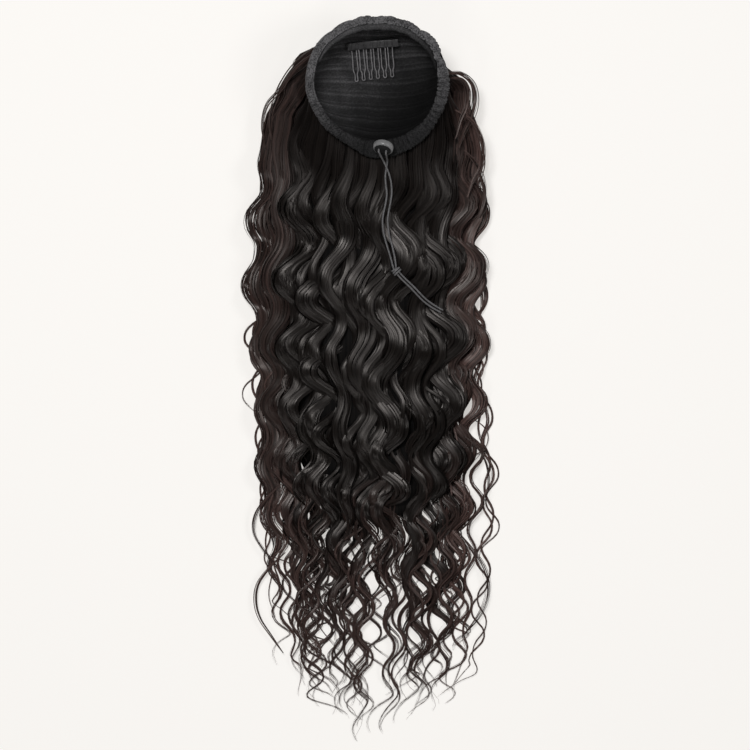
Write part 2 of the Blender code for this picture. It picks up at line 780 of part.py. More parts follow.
def main():
    clear_scene()
    parts = collection("ponytail_hairpiece")
    cutters = collection("cutters")
    net_cloth = material("net_cloth", (0.028, 0.027, 0.029), 0.9)
    hem_cloth = material("hem_cloth", (0.034, 0.033, 0.035), 0.9)
    comb_metal = material("comb_metal", (0.06, 0.06, 0.063), 0.5, 0.4)
    lock_plastic = material("lock_plastic", (0.03, 0.03, 0.032), 0.25)
    cord_elastic = material("cord_elastic", (0.08, 0.077, 0.08), 0.7)
    hair_fibre = material("hair_fibre", (0.012, 0.009, 0.008), 0.4)
    build_net(parts, net_cloth)
    build_casing(parts, hem_cloth)
    build_comb(parts, cutters, comb_metal)
    build_cord_lock(parts, cutters, lock_plastic)
    build_hair(parts, cutters, hair_fibre)
    build_cord(parts, cutters, cord_elastic)


main()
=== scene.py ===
"""The look of the drawstring ponytail hairpiece, seen from straight above as it lies on its back."""

import json
import math
from collections import namedtuple

import bmesh
import bpy
import numpy as np
from mathutils import Matrix, Vector

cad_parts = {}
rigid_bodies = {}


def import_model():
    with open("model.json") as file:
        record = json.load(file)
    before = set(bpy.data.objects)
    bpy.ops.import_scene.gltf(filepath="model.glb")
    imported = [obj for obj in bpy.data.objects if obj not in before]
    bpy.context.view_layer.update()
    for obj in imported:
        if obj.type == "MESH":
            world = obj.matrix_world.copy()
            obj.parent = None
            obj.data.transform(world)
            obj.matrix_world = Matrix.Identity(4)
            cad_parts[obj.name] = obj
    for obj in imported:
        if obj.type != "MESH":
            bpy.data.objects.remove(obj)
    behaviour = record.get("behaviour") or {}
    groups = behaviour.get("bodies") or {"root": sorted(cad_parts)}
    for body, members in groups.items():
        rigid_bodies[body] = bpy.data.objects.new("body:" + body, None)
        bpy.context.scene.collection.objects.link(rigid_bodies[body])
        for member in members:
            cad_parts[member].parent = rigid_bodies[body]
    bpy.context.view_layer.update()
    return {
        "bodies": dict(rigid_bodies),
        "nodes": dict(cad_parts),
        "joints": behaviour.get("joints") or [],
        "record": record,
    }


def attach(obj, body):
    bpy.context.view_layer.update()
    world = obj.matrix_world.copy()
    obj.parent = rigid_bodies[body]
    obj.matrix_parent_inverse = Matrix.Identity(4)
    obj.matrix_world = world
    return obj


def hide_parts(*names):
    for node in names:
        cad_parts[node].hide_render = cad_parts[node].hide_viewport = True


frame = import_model()

MM = 0.001
TURN = 2 * math.pi
rng = np.random.default_rng(38)

# The camera looks straight down: one pixel of the photograph is 0.9 mm at the middle of the hair's height
PIXEL = 0.9 * MM
PICTURE_SIDE = 750
LENS = 150.0
SENSOR = 36.0
FOCUS_HEIGHT = 40 * MM
CAMERA_MIDDLE = Vector((3.6, 1.4, 0)) * MM

# The lights, in metres and watts
Light = namedtuple("Light", "name place size power")
LIGHTS = [
    Light("key_light", (-0.45, 0.75, 2.3), 0.7, 38),
    Light("side_light", (1.6, 0.1, 1.7), 0.8, 10),
    Light("low_light", (-0.4, -1.5, 1.6), 0.8, 6),
]

# The cap, in the sizes that its solids were made from
CAP_CENTRE = Vector((5.4, 261.5, 0)) * MM
NET_FLOOR = 10.6 * MM
NET_ROUNDNESS = 2.4
NET_THICKNESS = 1.6 * MM
CASING_THICKNESS = 5.0 * MM
CLEARANCE = 0.3 * MM
CasingStation = namedtuple("CasingStation", "degrees inner outer middle_height pucker")
CASING = [
    CasingStation(0, 53.5, 65.5, 59.0, 1.3),
    CasingStation(30, 56.5, 64.5, 59.5, 0.9),
    CasingStation(60, 55.5, 63.0, 60.0, 0.8),
    CasingStation(90, 53.0, 61.5, 60.0, 0.9),
    CasingStation(120, 54.5, 63.0, 60.0, 0.6),
    CasingStation(150, 56.5, 65.0, 59.5, 0.4),
    CasingStation(180, 56.0, 64.5, 59.0, 0.5),
    CasingStation(210, 52.0, 62.0, 58.0, 0.8),
    CasingStation(240, 50.5, 60.5, 56.0, 0.9),
    CasingStation(270, 49.5, 66.5, 53.5, 0.7),
    CasingStation(300, 50.5, 65.5, 54.5, 0.9),
    CasingStation(330, 52.5, 64.0, 57.5, 1.3),
]
SCALLOPS = 18
SCALLOP_TURN = math.radians(4)

# Where the cap's small parts begin and end round it, in degrees
STITCHED = (24, 148)
ROLLED_EDGE = (140, 222)
OUTER_FOLD = (129, 160)
GATHERED_EDGE = (14, 158)

# The comb
COMB_MIDDLE = CAP_CENTRE + Vector((-3.6, 39.0, 0)) * MM
COMB_TURN = math.radians(5)
COMB_SLOPE = math.radians(15)
COMB_BEND_RADIUS = 80 * MM
COMB_LIFT = 24.6 * MM
SPINE = Vector((46, 7.2, 2.2)) * MM
TINES = 6
TINE_PITCH = 6.5 * MM
TINE_SHIFT = -1.3 * MM
TINE_LENGTH = 29 * MM
TINE_WIRE = 0.9 * MM
TINE_SHOULDER = 2.2 * MM
TINE_TIP = 1.3 * MM

# The cord lock
LOCK_CENTRE = CAP_CENTRE + Vector((5.6, -57.0, 65.0)) * MM
LOCK_TILT = math.radians(30)
LOCK_TURN = math.radians(-12)
LOCK_DIAMETER = 18.4 * MM
LOCK_THICKNESS = 6.6 * MM
LOCK_EDGE = 2.2 * MM
LOCK_BORE = 2.6 * MM
LOCK_BORE_SPACING = 6.6 * MM

# The elastic cord, along the same routes as its solids
CORD_DIAMETER = 1.7 * MM
CORD_STEP = 2.3 * MM
LEFT_STRAND = [
    (7.5, 204.1, 65.7),
    (6.8, 200.7, 67.7),
    (9.0, 196.5, 62.0),
    (11.6, 192.0, 55.5),
    (13.8, 187.5, 53.9),
    (16.5, 180.5, 51.0),
    (18.2, 172.5, 48.9),
    (18.5, 163.5, 47.8),
    (17.2, 155.0, 47.3),
    (15.5, 146.0, 46.8),
    (14.9, 139.5, 46.1),
    (15.6, 132.0, 45.2),
    (17.0, 124.5, 44.3),
    (19.2, 116.5, 43.9),
    (21.4, 106.5, 44.0),
    (22.4, 98.6, 45.3),
]
RIGHT_STRAND = [
    (14.0, 202.7, 65.7),
    (13.3, 199.3, 67.7),
    (14.0, 196.0, 61.5),
    (14.6, 192.5, 53.5),
    (13.8, 187.0, 51.4),
    (12.9, 180.5, 50.9),
    (13.2, 172.5, 50.0),
    (14.2, 163.5, 48.9),
    (13.0, 155.0, 48.3),
    (11.1, 146.0, 47.7),
    (10.3, 139.5, 47.0),
    (10.8, 132.0, 46.0),
    (12.4, 124.5, 44.6),
    (14.7, 116.5, 43.4),
    (17.7, 106.5, 43.6),
    (20.2, 97.0, 45.3),
]
LEFT_TAIL = [
    (23.8, 91.6, 45.3),
    (25.8, 89.3, 44.6),
    (28.0, 87.0, 44.0),
    (30.5, 84.7, 43.4),
    (33.0, 82.3, 42.7),
    (35.6, 79.8, 41.9),
    (38.2, 77.1, 41.0),
    (40.7, 74.4, 40.3),
    (43.3, 71.7, 39.4),
    (46.0, 69.0, 38.3),
    (48.8, 66.6, 37.2),
    (51.9, 64.3, 36.1),
    (55.3, 62.1, 35.1),
    (59.0, 60.0, 33.7),
    (63.0, 57.8, 32.2),
]
RIGHT_TAIL = [
    (26.0, 93.2, 45.3),
    (27.8, 91.0, 44.6),
    (30.0, 88.8, 43.8),
    (32.4, 86.5, 43.0),
    (34.9, 84.2, 42.3),
    (37.5, 81.8, 41.5),
    (40.1, 79.2, 41.0),
    (42.6, 76.5, 40.8),
    (45.2, 73.8, 39.7),
    (47.9, 71.2, 38.5),
    (50.6, 68.8, 37.3),
    (53.6, 66.5, 36.2),
    (57.0, 64.3, 35.2),
    (60.7, 62.1, 33.7),
    (64.8, 60.0, 32.2),
]
KNOT_MIDDLE = Vector((23.0, 95.0, 45.3)) * MM
KNOT_TURN = math.radians(35)

# The hair mass: one row for each cross-section, from above the cap to the tips
HairSection = namedtuple("HairSection", "along left right top")
HAIR_SECTIONS = [
    HairSection(320, -14, 26, 3),
    HairSection(305, -40, 52, 9),
    HairSection(285, -62, 74, 20),
    HairSection(259, -78, 94, 38),
    HairSection(232, -91, 98, 45),
    HairSection(205, -97, 100, 48),
    HairSection(160, -103, 103, 48),
    HairSection(93, -109, 105, 44),
    HairSection(34, -109, 107, 40),
    HairSection(-20, -106, 106, 36),
    HairSection(-65, -104, 108, 32),
    HairSection(-110, -103, 109, 27),
    HairSection(-155, -101, 106, 21),
    HairSection(-200, -99, 106, 15),
    HairSection(-245, -95, 106, 11),
    HairSection(-290, -80, 92, 8),
    HairSection(-330, -40, 46, 6),
]
MOUND_ROUNDNESS = 3
EDGE_CRESTS = [257, 201, 151, 88, 31, -21, -71, -120, -168, -214, -260, -306, -352, -398]
MIDDLE_CRESTS = [324, 246, 168, 87, 15, -53, -107, -158, -206, -252, -298, -344, -390, -436]
WAVE_WIDTH = 6.5 * MM
WAVE_CENTRE_GROWTH = 0.75
WAVE_HEIGHT = 4.6 * MM
WAVE_BEGINS = 30 * MM
WAVE_FULL = 150 * MM
WAVE_FULLNESS = 0.05
WAVE_PARTING = 0.16

# How far behind the left edge's wave each place across the hair is, as a share of a wave
Lag = namedtuple("Lag", "across waves")
LAGS = [Lag(-1.0, 0.0), Lag(-0.5, 0.03), Lag(-0.1, 0.25), Lag(0.4, 0.33), Lag(0.7, 0.36), Lag(1.0, 0.5)]

# Where the painted shade on the cap's cloth is lightest and darkest: light and shade painted into its colour
PaintedShade = namedtuple("PaintedShade", "light dark least")
NET_PAINTED_SHADE = PaintedShade(CAP_CENTRE + Vector((-22, 40, 0)) * MM, CAP_CENTRE + Vector((34, -24, 0)) * MM, 0.07)
HEM_PAINTED_SHADE = PaintedShade(CAP_CENTRE + Vector((-6, 24, 0)) * MM, CAP_CENTRE + Vector((4, -57, 0)) * MM, 0.13)

# How the hair divides: locks, strings in a lock, strands in a string
STRING_COUNT = 3
STRAND_COUNT = 19
SAMPLES = 104
FINE_FROM = 0.30
Layer = namedtuple("Layer", "locks depth spread half_width")
LAYERS = [
    Layer(24, 1.0, 0.99, 9.0),
    Layer(17, 0.76, 0.98, 9.5),
    Layer(10, 0.42, 0.92, 9.5),
    Layer(7, 0.06, 0.88, 10.5),
]
HAIR_LOCK_THICKNESS = 3.4 * MM
LOCK_SPREAD = 4.5 * MM
LOWEST_TIP = -334 * MM
LONGEST_LOCK = -344 * MM
EDGE_SHORTER = 40 * MM
LOCK_SHORTER = 120 * MM
LOOSE_SHARE = 0.01
TIP_SEED = 12
STRAYS = [-0.96, -0.95, -0.93, 0.91, 0.93, 0.95]
STRING_RADIUS = 3.0 * MM
STRING_TIP_RADIUS = 0.9 * MM
TIP_CLUMPS = 20
HAIR_PIECES = 5
CROWN_DEGREES = (-32, 212)
CORE_FROM = 268
CORE_TO = -130
ROOT_RADIUS = 59.5 * MM
BOWL_ROOM = 2.6 * MM
Root = namedtuple("Root", "across degrees")
ROOTS = [
    Root(-1.0, 112),
    Root(-0.85, 142),
    Root(-0.7, 178),
    Root(-0.6, 204),
    Root(-0.45, 228),
    Root(-0.25, 248),
    Root(0.0, 269),
    Root(0.25, 290),
    Root(0.45, 311),
    Root(0.6, 334),
    Root(0.75, 356),
    Root(1.0, 386),
]

# Thin locks that leave the mass in an arc and come back to it, with points in millimetres
FlyLock = namedtuple("FlyLock", "strands radius route")
FLY_LOCKS = [
    FlyLock(20, 1.9, [
        (66, 272, 46), (80, 273, 38), (91, 265, 30), (94, 251, 27),
        (91, 236, 29), (84, 222, 33), (79, 206, 38),
    ]),
    FlyLock(12, 1.3, [
        (68, 268, 47), (82, 267, 45), (88, 256, 43), (87, 243, 42),
        (81, 230, 42), (76, 214, 43),
    ]),
    FlyLock(16, 1.6, [
        (76, 240, 40), (89, 232, 38), (97, 220, 35), (101, 204, 32),
        (99, 189, 30), (92, 177, 30), (87, 162, 32),
    ]),
    FlyLock(14, 1.5, [
        (84, 204, 36), (94, 194, 32), (101, 180, 28), (104, 164, 26),
        (100, 149, 27), (92, 137, 30),
    ]),
    FlyLock(10, 1.2, [
        (-43.5, 299.6, 50), (-60, 290, 35), (-75, 275, 23), (-86, 256, 17),
        (-92, 236, 17), (-90, 214, 21),
    ]),
    FlyLock(8, 1.0, [
        (-48.9, 292.3, 50), (-69, 277, 33), (-82, 260, 22), (-95, 246, 15),
        (-99, 226, 15), (-95, 206, 19),
    ]),
    FlyLock(7, 0.8, [
        (-82, -98, 14), (-96, -112, 10), (-105, -127, 7), (-106, -142, 6),
        (-99, -156, 6), (-88, -170, 7), (-78, -184, 7),
    ]),
    FlyLock(7, 0.8, [
        (-78, -160, 9), (-92, -174, 7), (-103, -190, 5), (-105, -206, 5),
        (-101, -221, 5), (-91, -236, 5), (-80, -252, 5),
    ]),
    FlyLock(9, 1.0, [
        (80, -142, 11), (92, -158, 9), (101, -172, 7), (106, -188, 6),
        (105, -204, 6), (97, -220, 6), (84, -236, 6),
    ]),
    FlyLock(8, 0.9, [
        (82, -52, 20), (96, -64, 15), (105, -78, 12), (108, -94, 10),
        (105, -110, 9), (95, -126, 10), (82, -140, 11),
    ]),
]


def smooth(value):
    value = np.clip(value, 0.0, 1.0)
    return value * value * (3 - 2 * value)


def table_value(rows, column, key, value):
    """The smooth value of a table's column, for an array of values of its key column."""
    keys = np.array([getattr(row, key) for row in rows], float)
    entries = np.array([getattr(row, column) for row in rows], float)
    order = np.argsort(keys)
    keys, entries = keys[order], entries[order]
    value = np.clip(np.asarray(value, float), keys[0], keys[-1])
    after = np.clip(np.searchsorted(keys, value), 1, len(keys) - 1)
    share = smooth((value - keys[after - 1]) / (keys[after] - keys[after - 1]))
    return entries[after - 1] + (entries[after] - entries[after - 1]) * share


# Materials


def material(name, surface):
    """A new material with its node tree and its shader, with the given values set."""
    made = bpy.data.materials.new(name)
    made.use_nodes = True
    shader = made.node_tree.nodes["Principled BSDF"]
    for label, value in surface.items():
        shader.inputs[label].default_value = value
    return made, made.node_tree, shader


def node(tree, kind, inputs=None, **settings):
    made = tree.nodes.new(kind)
    for name, value in settings.items():
        setattr(made, name, value)
    for name, value in (inputs or {}).items():
        if isinstance(value, bpy.types.NodeSocket):
            tree.links.new(value, made.inputs[name])
        else:
            made.inputs[name].default_value = value
    return made


def ramp(tree, source, *stops):
    made = node(tree, "ShaderNodeValToRGB", {"Fac": source})
    for point, (place, colour) in zip(made.color_ramp.elements, stops):
        point.position = place
        point.color = (*colour, 1)
    return made.outputs["Color"]


def object_place(tree):
    return node(tree, "ShaderNodeTexCoord").outputs["Object"]


def stored_tone(tree):
    """The tone that the mesh keeps at its points."""
    return node(tree, "ShaderNodeAttribute", attribute_name="tone").outputs["Color"]


def mottle(tree, place, scale, detail):
    inputs = {"Vector": place, "Scale": scale, "Detail": detail}
    return node(tree, "ShaderNodeTexNoise", inputs).outputs["Fac"]


def cells(tree, place, scale):
    return node(tree, "ShaderNodeTexVoronoi", {"Vector": place, "Scale": scale}).outputs["Distance"]


def arithmetic(tree, operation, first, second):
    return node(tree, "ShaderNodeMath", {0: first, 1: second}, operation=operation).outputs[0]


def vector_math(tree, operation, first, second):
    return node(tree, "ShaderNodeVectorMath", {0: first, 1: second}, operation=operation)


def spread_over(tree, value, low, high, **settings):
    """A value from 0 to 1 as one from low to high."""
    inputs = {"Value": value, "To Min": low, "To Max": high}
    return node(tree, "ShaderNodeMapRange", inputs, **settings).outputs["Result"]


def multiplied(tree, colour, other):
    return vector_math(tree, "MULTIPLY", colour, other).outputs["Vector"]


def with_painted_shade(tree, colour, shade):
    """The colour made darker from one place to another, as painted shade."""
    way = shade.dark - shade.light
    from_light = vector_math(tree, "SUBTRACT", object_place(tree), shade.light).outputs["Vector"]
    along_way = vector_math(tree, "DOT_PRODUCT", from_light, way / way.length_squared).outputs["Value"]
    factor = spread_over(tree, along_way, 1.0, shade.least, interpolation_type="SMOOTHSTEP")
    return multiplied(tree, colour, factor)


def bump(tree, shader, height, strength, distance):
    made = node(tree, "ShaderNodeBump", {"Height": height, "Strength": strength, "Distance": distance})
    tree.links.new(made.outputs["Normal"], shader.inputs["Normal"])


def knitted(tree, cell_scale, mottle_scale):
    """How high the loops of a knitted cloth stand."""
    place = object_place(tree)
    loops = cells(tree, place, cell_scale)
    return arithmetic(tree, "MULTIPLY", loops, mottle(tree, place, mottle_scale, 6.0))


def speckled_material(name, surface, scale, detail, dark, light):
    """A material whose colour wanders between two, with the pattern that it follows."""
    made, tree, shader = material(name, surface)
    specks = mottle(tree, object_place(tree), scale, detail)
    tree.links.new(ramp(tree, specks, dark, light), shader.inputs["Base Color"])
    return made, tree, shader, specks


def hair_material():
    """Silky hair. Its tone's red is lightness, green the share of painted backlight, blue the nearness to
    the cap.
    """
    surface = {"Specular IOR Level": 0.34, "Anisotropic": 0.75}
    made, tree, shader = material("silky_black_brown_hair", surface)
    parts = node(tree, "ShaderNodeSeparateColor", {"Color": stored_tone(tree)}).outputs
    dark = ramp(tree, parts["Red"], (0.0, (0.003, 0.0023, 0.0020)), (1.0, (0.0095, 0.0072, 0.0062)))
    # Painted light: thin hair lit through from behind, browner and lighter than the hair's own near-black.
    backlit_brown = ramp(tree, parts["Red"], (0.0, (0.050, 0.030, 0.026)), (1.0, (0.135, 0.080, 0.070)))
    mixed = node(tree, "ShaderNodeMix", {"Factor": parts["Green"], "A": dark, "B": backlit_brown}, data_type="RGBA")
    tree.links.new(mixed.outputs["Result"], shader.inputs["Base Color"])
    rough = spread_over(tree, parts["Red"], 0.33, 0.48)
    matt = arithmetic(tree, "MULTIPLY", parts["Blue"], 0.2)
    tree.links.new(arithmetic(tree, "ADD", rough, matt), shader.inputs["Roughness"])
    # Painted shade: the highlights are dimmed near the cap, where the hair turns away from the light.
    painted_highlight_shade = ramp(tree, parts["Blue"], (0.0, (1.0, 0.93, 0.89)), (1.0, (0.32, 0.29, 0.28)))
    tree.links.new(painted_highlight_shade, shader.inputs["Specular Tint"])
    across = node(tree, "ShaderNodeTangent", direction_type="UV_MAP", uv_map="strand")
    tree.links.new(across.outputs["Tangent"], shader.inputs["Tangent"])
    return made


def core_material():
    """Painted shade: the dark of the shade deep inside the hair."""
    made, tree, shader = material("hair_in_shade", {"Roughness": 0.7, "Specular IOR Level": 0.08})
    stretch = {"Vector": object_place(tree), "Scale": (900.0, 18.0, 300.0)}
    drawn_out = node(tree, "ShaderNodeMapping", stretch).outputs["Vector"]
    fibres = mottle(tree, drawn_out, 1.0, 3.0)
    colour = ramp(tree, fibres, (0.4, (0.0006, 0.0005, 0.0005)), (0.75, (0.006, 0.0048, 0.0043)))
    tree.links.new(colour, shader.inputs["Base Color"])
    return made


def net_material():
    made, tree, shader = material("stretch_net", {"Roughness": 0.85, "Specular IOR Level": 0.15})
    loops = knitted(tree, 900.0, 60.0)
    colour = ramp(tree, loops, (0.05, (0.024, 0.0238, 0.0245)), (0.45, (0.095, 0.093, 0.096)))
    # The stored tone carries painted light: the raised rows are lighter and the dips between them darker.
    sewn = multiplied(tree, colour, stored_tone(tree))
    # Painted shade: the net is darker towards its lower right, where the hem overhangs it.
    tree.links.new(with_painted_shade(tree, sewn, NET_PAINTED_SHADE), shader.inputs["Base Color"])
    bump(tree, shader, loops, 0.9, 0.6 * MM)
    return made


def hem_material():
    made, tree, shader = material("knitted_hem", {"Roughness": 0.85, "Specular IOR Level": 0.2})
    loops = knitted(tree, 700.0, 120.0)
    colour = ramp(tree, loops, (0.06, (0.012, 0.012, 0.0125)), (0.36, (0.118, 0.115, 0.119)))
    # Painted shade: the hem is darker towards the bottom of the mouth.
    tree.links.new(with_painted_shade(tree, colour, HEM_PAINTED_SHADE), shader.inputs["Base Color"])
    bump(tree, shader, loops, 0.9, 0.7 * MM)
    return made


def coated_wire_material():
    made, tree, shader = material("coated_wire", {"Roughness": 0.42, "Metallic": 0.3})
    wear = mottle(tree, object_place(tree), 250.0, 4.0)
    colour = ramp(tree, wear, (0.35, (0.17, 0.165, 0.17)), (0.7, (0.28, 0.27, 0.28)))
    tree.links.new(multiplied(tree, colour, stored_tone(tree)), shader.inputs["Base Color"])
    bump(tree, shader, wear, 0.3, 0.2 * MM)
    return made


def lock_material():
    """The glossy edge of the cord lock: its grey plastic painted lighter, as the side in the light."""
    dark, light = (0.3, (0.15, 0.15, 0.152)), (0.8, (0.20, 0.198, 0.202))
    made, tree, shader, scuffs = speckled_material("glossy_lock_plastic", {}, 400.0, 3.0, dark, light)
    tree.links.new(spread_over(tree, scuffs, 0.24, 0.36), shader.inputs["Roughness"])
    return made


def lock_face_shade_material():
    """The matt face of the cord lock, round its two holes: the same plastic painted dark, as the side in
    shade.
    """
    surface = {"Roughness": 0.7, "Specular IOR Level": 0.15}
    dark, light = (0.3, (0.010, 0.010, 0.0102)), (0.8, (0.018, 0.0178, 0.0182))
    return speckled_material("matt_lock_face_painted_shade", surface, 500.0, 3.0, dark, light)[0]


def cord_material():
    made, tree, shader = material("braided_elastic", {"Roughness": 0.6})
    braid = cells(tree, object_place(tree), 1500.0)
    colour = ramp(tree, braid, (0.0, (0.19, 0.185, 0.19)), (0.7, (0.07, 0.068, 0.07)))
    tree.links.new(colour, shader.inputs["Base Color"])
    bump(tree, shader, braid, -0.7, 0.3 * MM)
    return made


def thread_material():
    dark, light = (0.3, (0.12, 0.12, 0.123)), (0.7, (0.19, 0.19, 0.193))
    return speckled_material("sewing_thread", {"Roughness": 0.6}, 900.0, 2.0, dark, light)[0]


def floor_material():
    """A pale backdrop: it glows a little, as one lit from behind does, so that its shadows stay faint."""
    surface = {
        "Base Color": (0.45, 0.442, 0.43, 1),
        "Roughness": 0.95,
        "Specular IOR Level": 0.0,
        "Emission Color": (1.0, 0.972, 0.935, 1),
        "Emission Strength": 0.565,
    }
    return material("pale_floor", surface)[0]


# Shapes


def scene_object(name, data):
    made = bpy.data.objects.new(name, data)
    bpy.context.scene.collection.objects.link(made)
    return made


def mesh_object(name, points, faces, finish, tone=None, across=None):
    """A smooth mesh object from arrays of points and four-sided faces."""
    mesh = bpy.data.meshes.new(name)
    mesh.vertices.add(len(points))
    mesh.vertices.foreach_set("co", np.ascontiguousarray(points, dtype=np.float32).ravel())
    corners = faces.shape[1]
    mesh.loops.add(faces.size)
    mesh.loops.foreach_set("vertex_index", np.ascontiguousarray(faces, dtype=np.int32).ravel())
    mesh.polygons.add(len(faces))
    mesh.polygons.foreach_set("loop_start", np.arange(0, faces.size, corners, dtype=np.int32))
    mesh.update(calc_edges=True)
    mesh.shade_smooth()
    if across is not None:
        layer = mesh.uv_layers.new(name="strand")
        layer.data.foreach_set("uv", np.ascontiguousarray(across, dtype=np.float32).ravel())
    if tone is not None:
        stored = mesh.color_attributes.new("tone", "FLOAT_COLOR", "POINT")
        stored.data.foreach_set("color", np.ascontiguousarray(tone, dtype=np.float32).ravel())
    mesh.materials.append(finish)
    return scene_object(name, mesh)


def grid_faces(rows, columns, wrap_rows=False, wrap_columns=False):
    """The four-sided faces of a grid of points, row by row."""
    row = np.arange(rows if wrap_rows else rows - 1)
    column = np.arange(columns if wrap_columns else columns - 1)
    row, column = [part.ravel() for part in np.meshgrid(row, column, indexing="ij")]
    next_row, next_column = (row + 1) % rows, (column + 1) % columns
    corners = [row * columns + column, row * columns + next_column]
    corners += [next_row * columns + next_column, next_row * columns + column]
    return np.stack(corners, axis=1)


def rim(rows, columns):
    """The points round the edge of a grid, and the point after each."""
    index = np.arange(rows * columns).reshape(rows, columns)
    loop = np.concatenate([index[0, :-1], index[:-1, -1], index[-1, :0:-1], index[:0:-1, 0]])
    return loop, np.roll(loop, -1)


def greys(values):
    """A tone for each point, the same in all three colours."""
    tone = np.ones((len(values), 4))
    tone[:, :3] = values[:, None]
    return tone


def catmull_rom(points, step):
    """Points about a step apart on a smooth curve through the given ones."""
    points = [Vector(point) for point in points]
    padded = [2 * points[0] - points[1], *points, 2 * points[-1] - points[-2]]
    found = [points[0]]
    for before, start, end, after in zip(padded, padded[1:], padded[2:], padded[3:]):
        pieces = max(1, round((end - start).length / step))
        for i in range(1, pieces + 1):
            t = i / pieces
            straight = 2 * start + (end - before) * t
            bend = (2 * before - 5 * start + 4 * end - after) * t * t
            twist = (3 * start - before - 3 * end + after) * t * t * t
            found.append((straight + bend + twist) / 2)
    return found


def tube(points, radius, sides, closed=False):
    """Points and faces of a round tube along a route, with its ends drawn in to close it."""
    route = np.array([list(point) for point in points], float)
    if closed:
        tangent = np.roll(route, -1, axis=0) - np.roll(route, 1, axis=0)
    else:
        tangent = np.gradient(route, axis=0)
    tangent /= np.linalg.norm(tangent, axis=1)[:, None] + 1e-12
    across = np.zeros_like(route)
    across[0] = np.cross(tangent[0], [0.31, 0.17, 0.93])
    across[0] /= np.linalg.norm(across[0])
    for i in range(1, len(route)):
        kept = across[i - 1] - tangent[i] * np.dot(across[i - 1], tangent[i])
        across[i] = kept / np.linalg.norm(kept)
    other = np.cross(tangent, across)
    turn = np.arange(sides) * TURN / sides
    size = np.full(len(route), float(radius)) if np.isscalar(radius) else np.asarray(radius, float)
    ring = np.cos(turn)[None, :, None] * across[:, None] + np.sin(turn)[None, :, None] * other[:, None]
    shell = route[:, None] + ring * size[:, None, None]
    if closed:
        return shell.reshape(-1, 3), grid_faces(len(route), sides, wrap_rows=True, wrap_columns=True)
    start = np.repeat(route[:1], sides, axis=0)[None] + ring[:1] * size[0] * 0.02
    end = np.repeat(route[-1:], sides, axis=0)[None] + ring[-1:] * size[-1] * 0.02
    shell = np.concatenate([start, shell, end])
    return shell.reshape(-1, 3), grid_faces(len(route) + 2, sides, wrap_columns=True)


def joined(parts):
    """Several lots of points and faces as one."""
    points, faces, count = [], [], 0
    for some_points, some_faces in parts:
        points.append(some_points)
        faces.append(some_faces + count)
        count += len(some_points)
    return np.concatenate(points), np.concatenate(faces)


# The cap


def casing_value(column, angle):
    rows = [*CASING, CASING[0]._replace(degrees=360)]
    return table_value(rows, column, "degrees", np.degrees(angle) % 360)


def net_profile(share):
    """How far out and how far down the bowl is, at shares of the way from its apex to its edge."""
    quarter = np.linspace(0, TURN / 4, 200)
    out = np.sin(quarter) ** (2 / NET_ROUNDNESS)
    down = np.maximum(0.0, np.cos(quarter)) ** (2 / NET_ROUNDNESS)
    reached = np.concatenate([[0], np.cumsum(np.hypot(np.diff(out), 0.8 * np.diff(down)))])
    reached /= reached[-1]
    return np.interp(share, reached, out), np.interp(share, reached, down)


def bowl_points(share, angle, spare):
    """Points of the bowl's inner surface moved outwards by spare, for arrays of shares and angles."""
    out, down = net_profile(share)
    middle_radius = (casing_value("inner", angle) + casing_value("outer", angle)) / 2 * MM
    edge = casing_value("middle_height", angle) * MM - CASING_THICKNESS / 2 - CLEARANCE
    radius = (middle_radius + spare) * out
    height = edge - (edge - NET_FLOOR) * down - spare * down
    x = CAP_CENTRE.x + radius * np.cos(angle)
    y = CAP_CENTRE.y + radius * np.sin(angle)
    return np.stack([x, y, height], axis=-1)


def build_net(finish):
    """The stretch net with its sewn rows, thicker lines of stitching and small wrinkles."""
    rows = 210
    columns = 96
    along, across = np.meshgrid(np.linspace(-1, 1, rows), np.linspace(-1, 1, columns), indexing="ij")
    x = across * np.sqrt(1 - along**2 / 2)
    y = along * np.sqrt(1 - across**2 / 2)
    share = np.minimum(1.0, np.hypot(x, y))
    angle = np.arctan2(y, x)
    wander = 0.22 * np.sin(2.1 * across + 1.3) + 0.12 * np.sin(5.3 * across + 4 * along)
    bowed = 0.9 * np.maximum(0, across) ** 2
    phase = (along * 7 + wander * 0.6 - bowed + 0.35 * across**2 * along) % 1
    ridge = np.exp(-(((phase - 0.5) / 0.13) ** 2)) + 0.6 * np.exp(-(((phase - 0.86) / 0.06) ** 2))
    fade = smooth((1 - share) / 0.06)
    wrinkle = 0.25 * np.sin(14 * across + 3 * np.sin(9 * along)) * np.sin(17 * along)
    spare = -(1.5 * ridge + 0.5 * wrinkle) * fade * MM
    inner = bowl_points(share, angle, spare)
    outer = bowl_points(share, angle, np.full_like(share, NET_THICKNESS))
    faces = grid_faces(rows, columns)
    count = rows * columns
    points = np.concatenate([inner.reshape(-1, 3), outer.reshape(-1, 3)])
    loop, after = rim(rows, columns)
    edge = np.stack([loop, loop + count, after + count, after], axis=1)
    faces = np.concatenate([faces, faces[:, ::-1] + count, edge])
    # Painted light: the tone makes the raised sewn rows lighter and the dips between them darker.
    tone = greys(np.tile((0.55 + 0.6 * np.clip(ridge, 0, 1)).ravel(), 2))
    return mesh_object("net_of_the_cap", points, faces, finish, tone=tone)


def round_cap(out, angle, up):
    """Points round the cap, from millimetres."""
    x = CAP_CENTRE.x / MM + out * np.cos(angle)
    y = CAP_CENTRE.y / MM + out * np.sin(angle)
    return np.stack([x, y, up], axis=-1) * MM


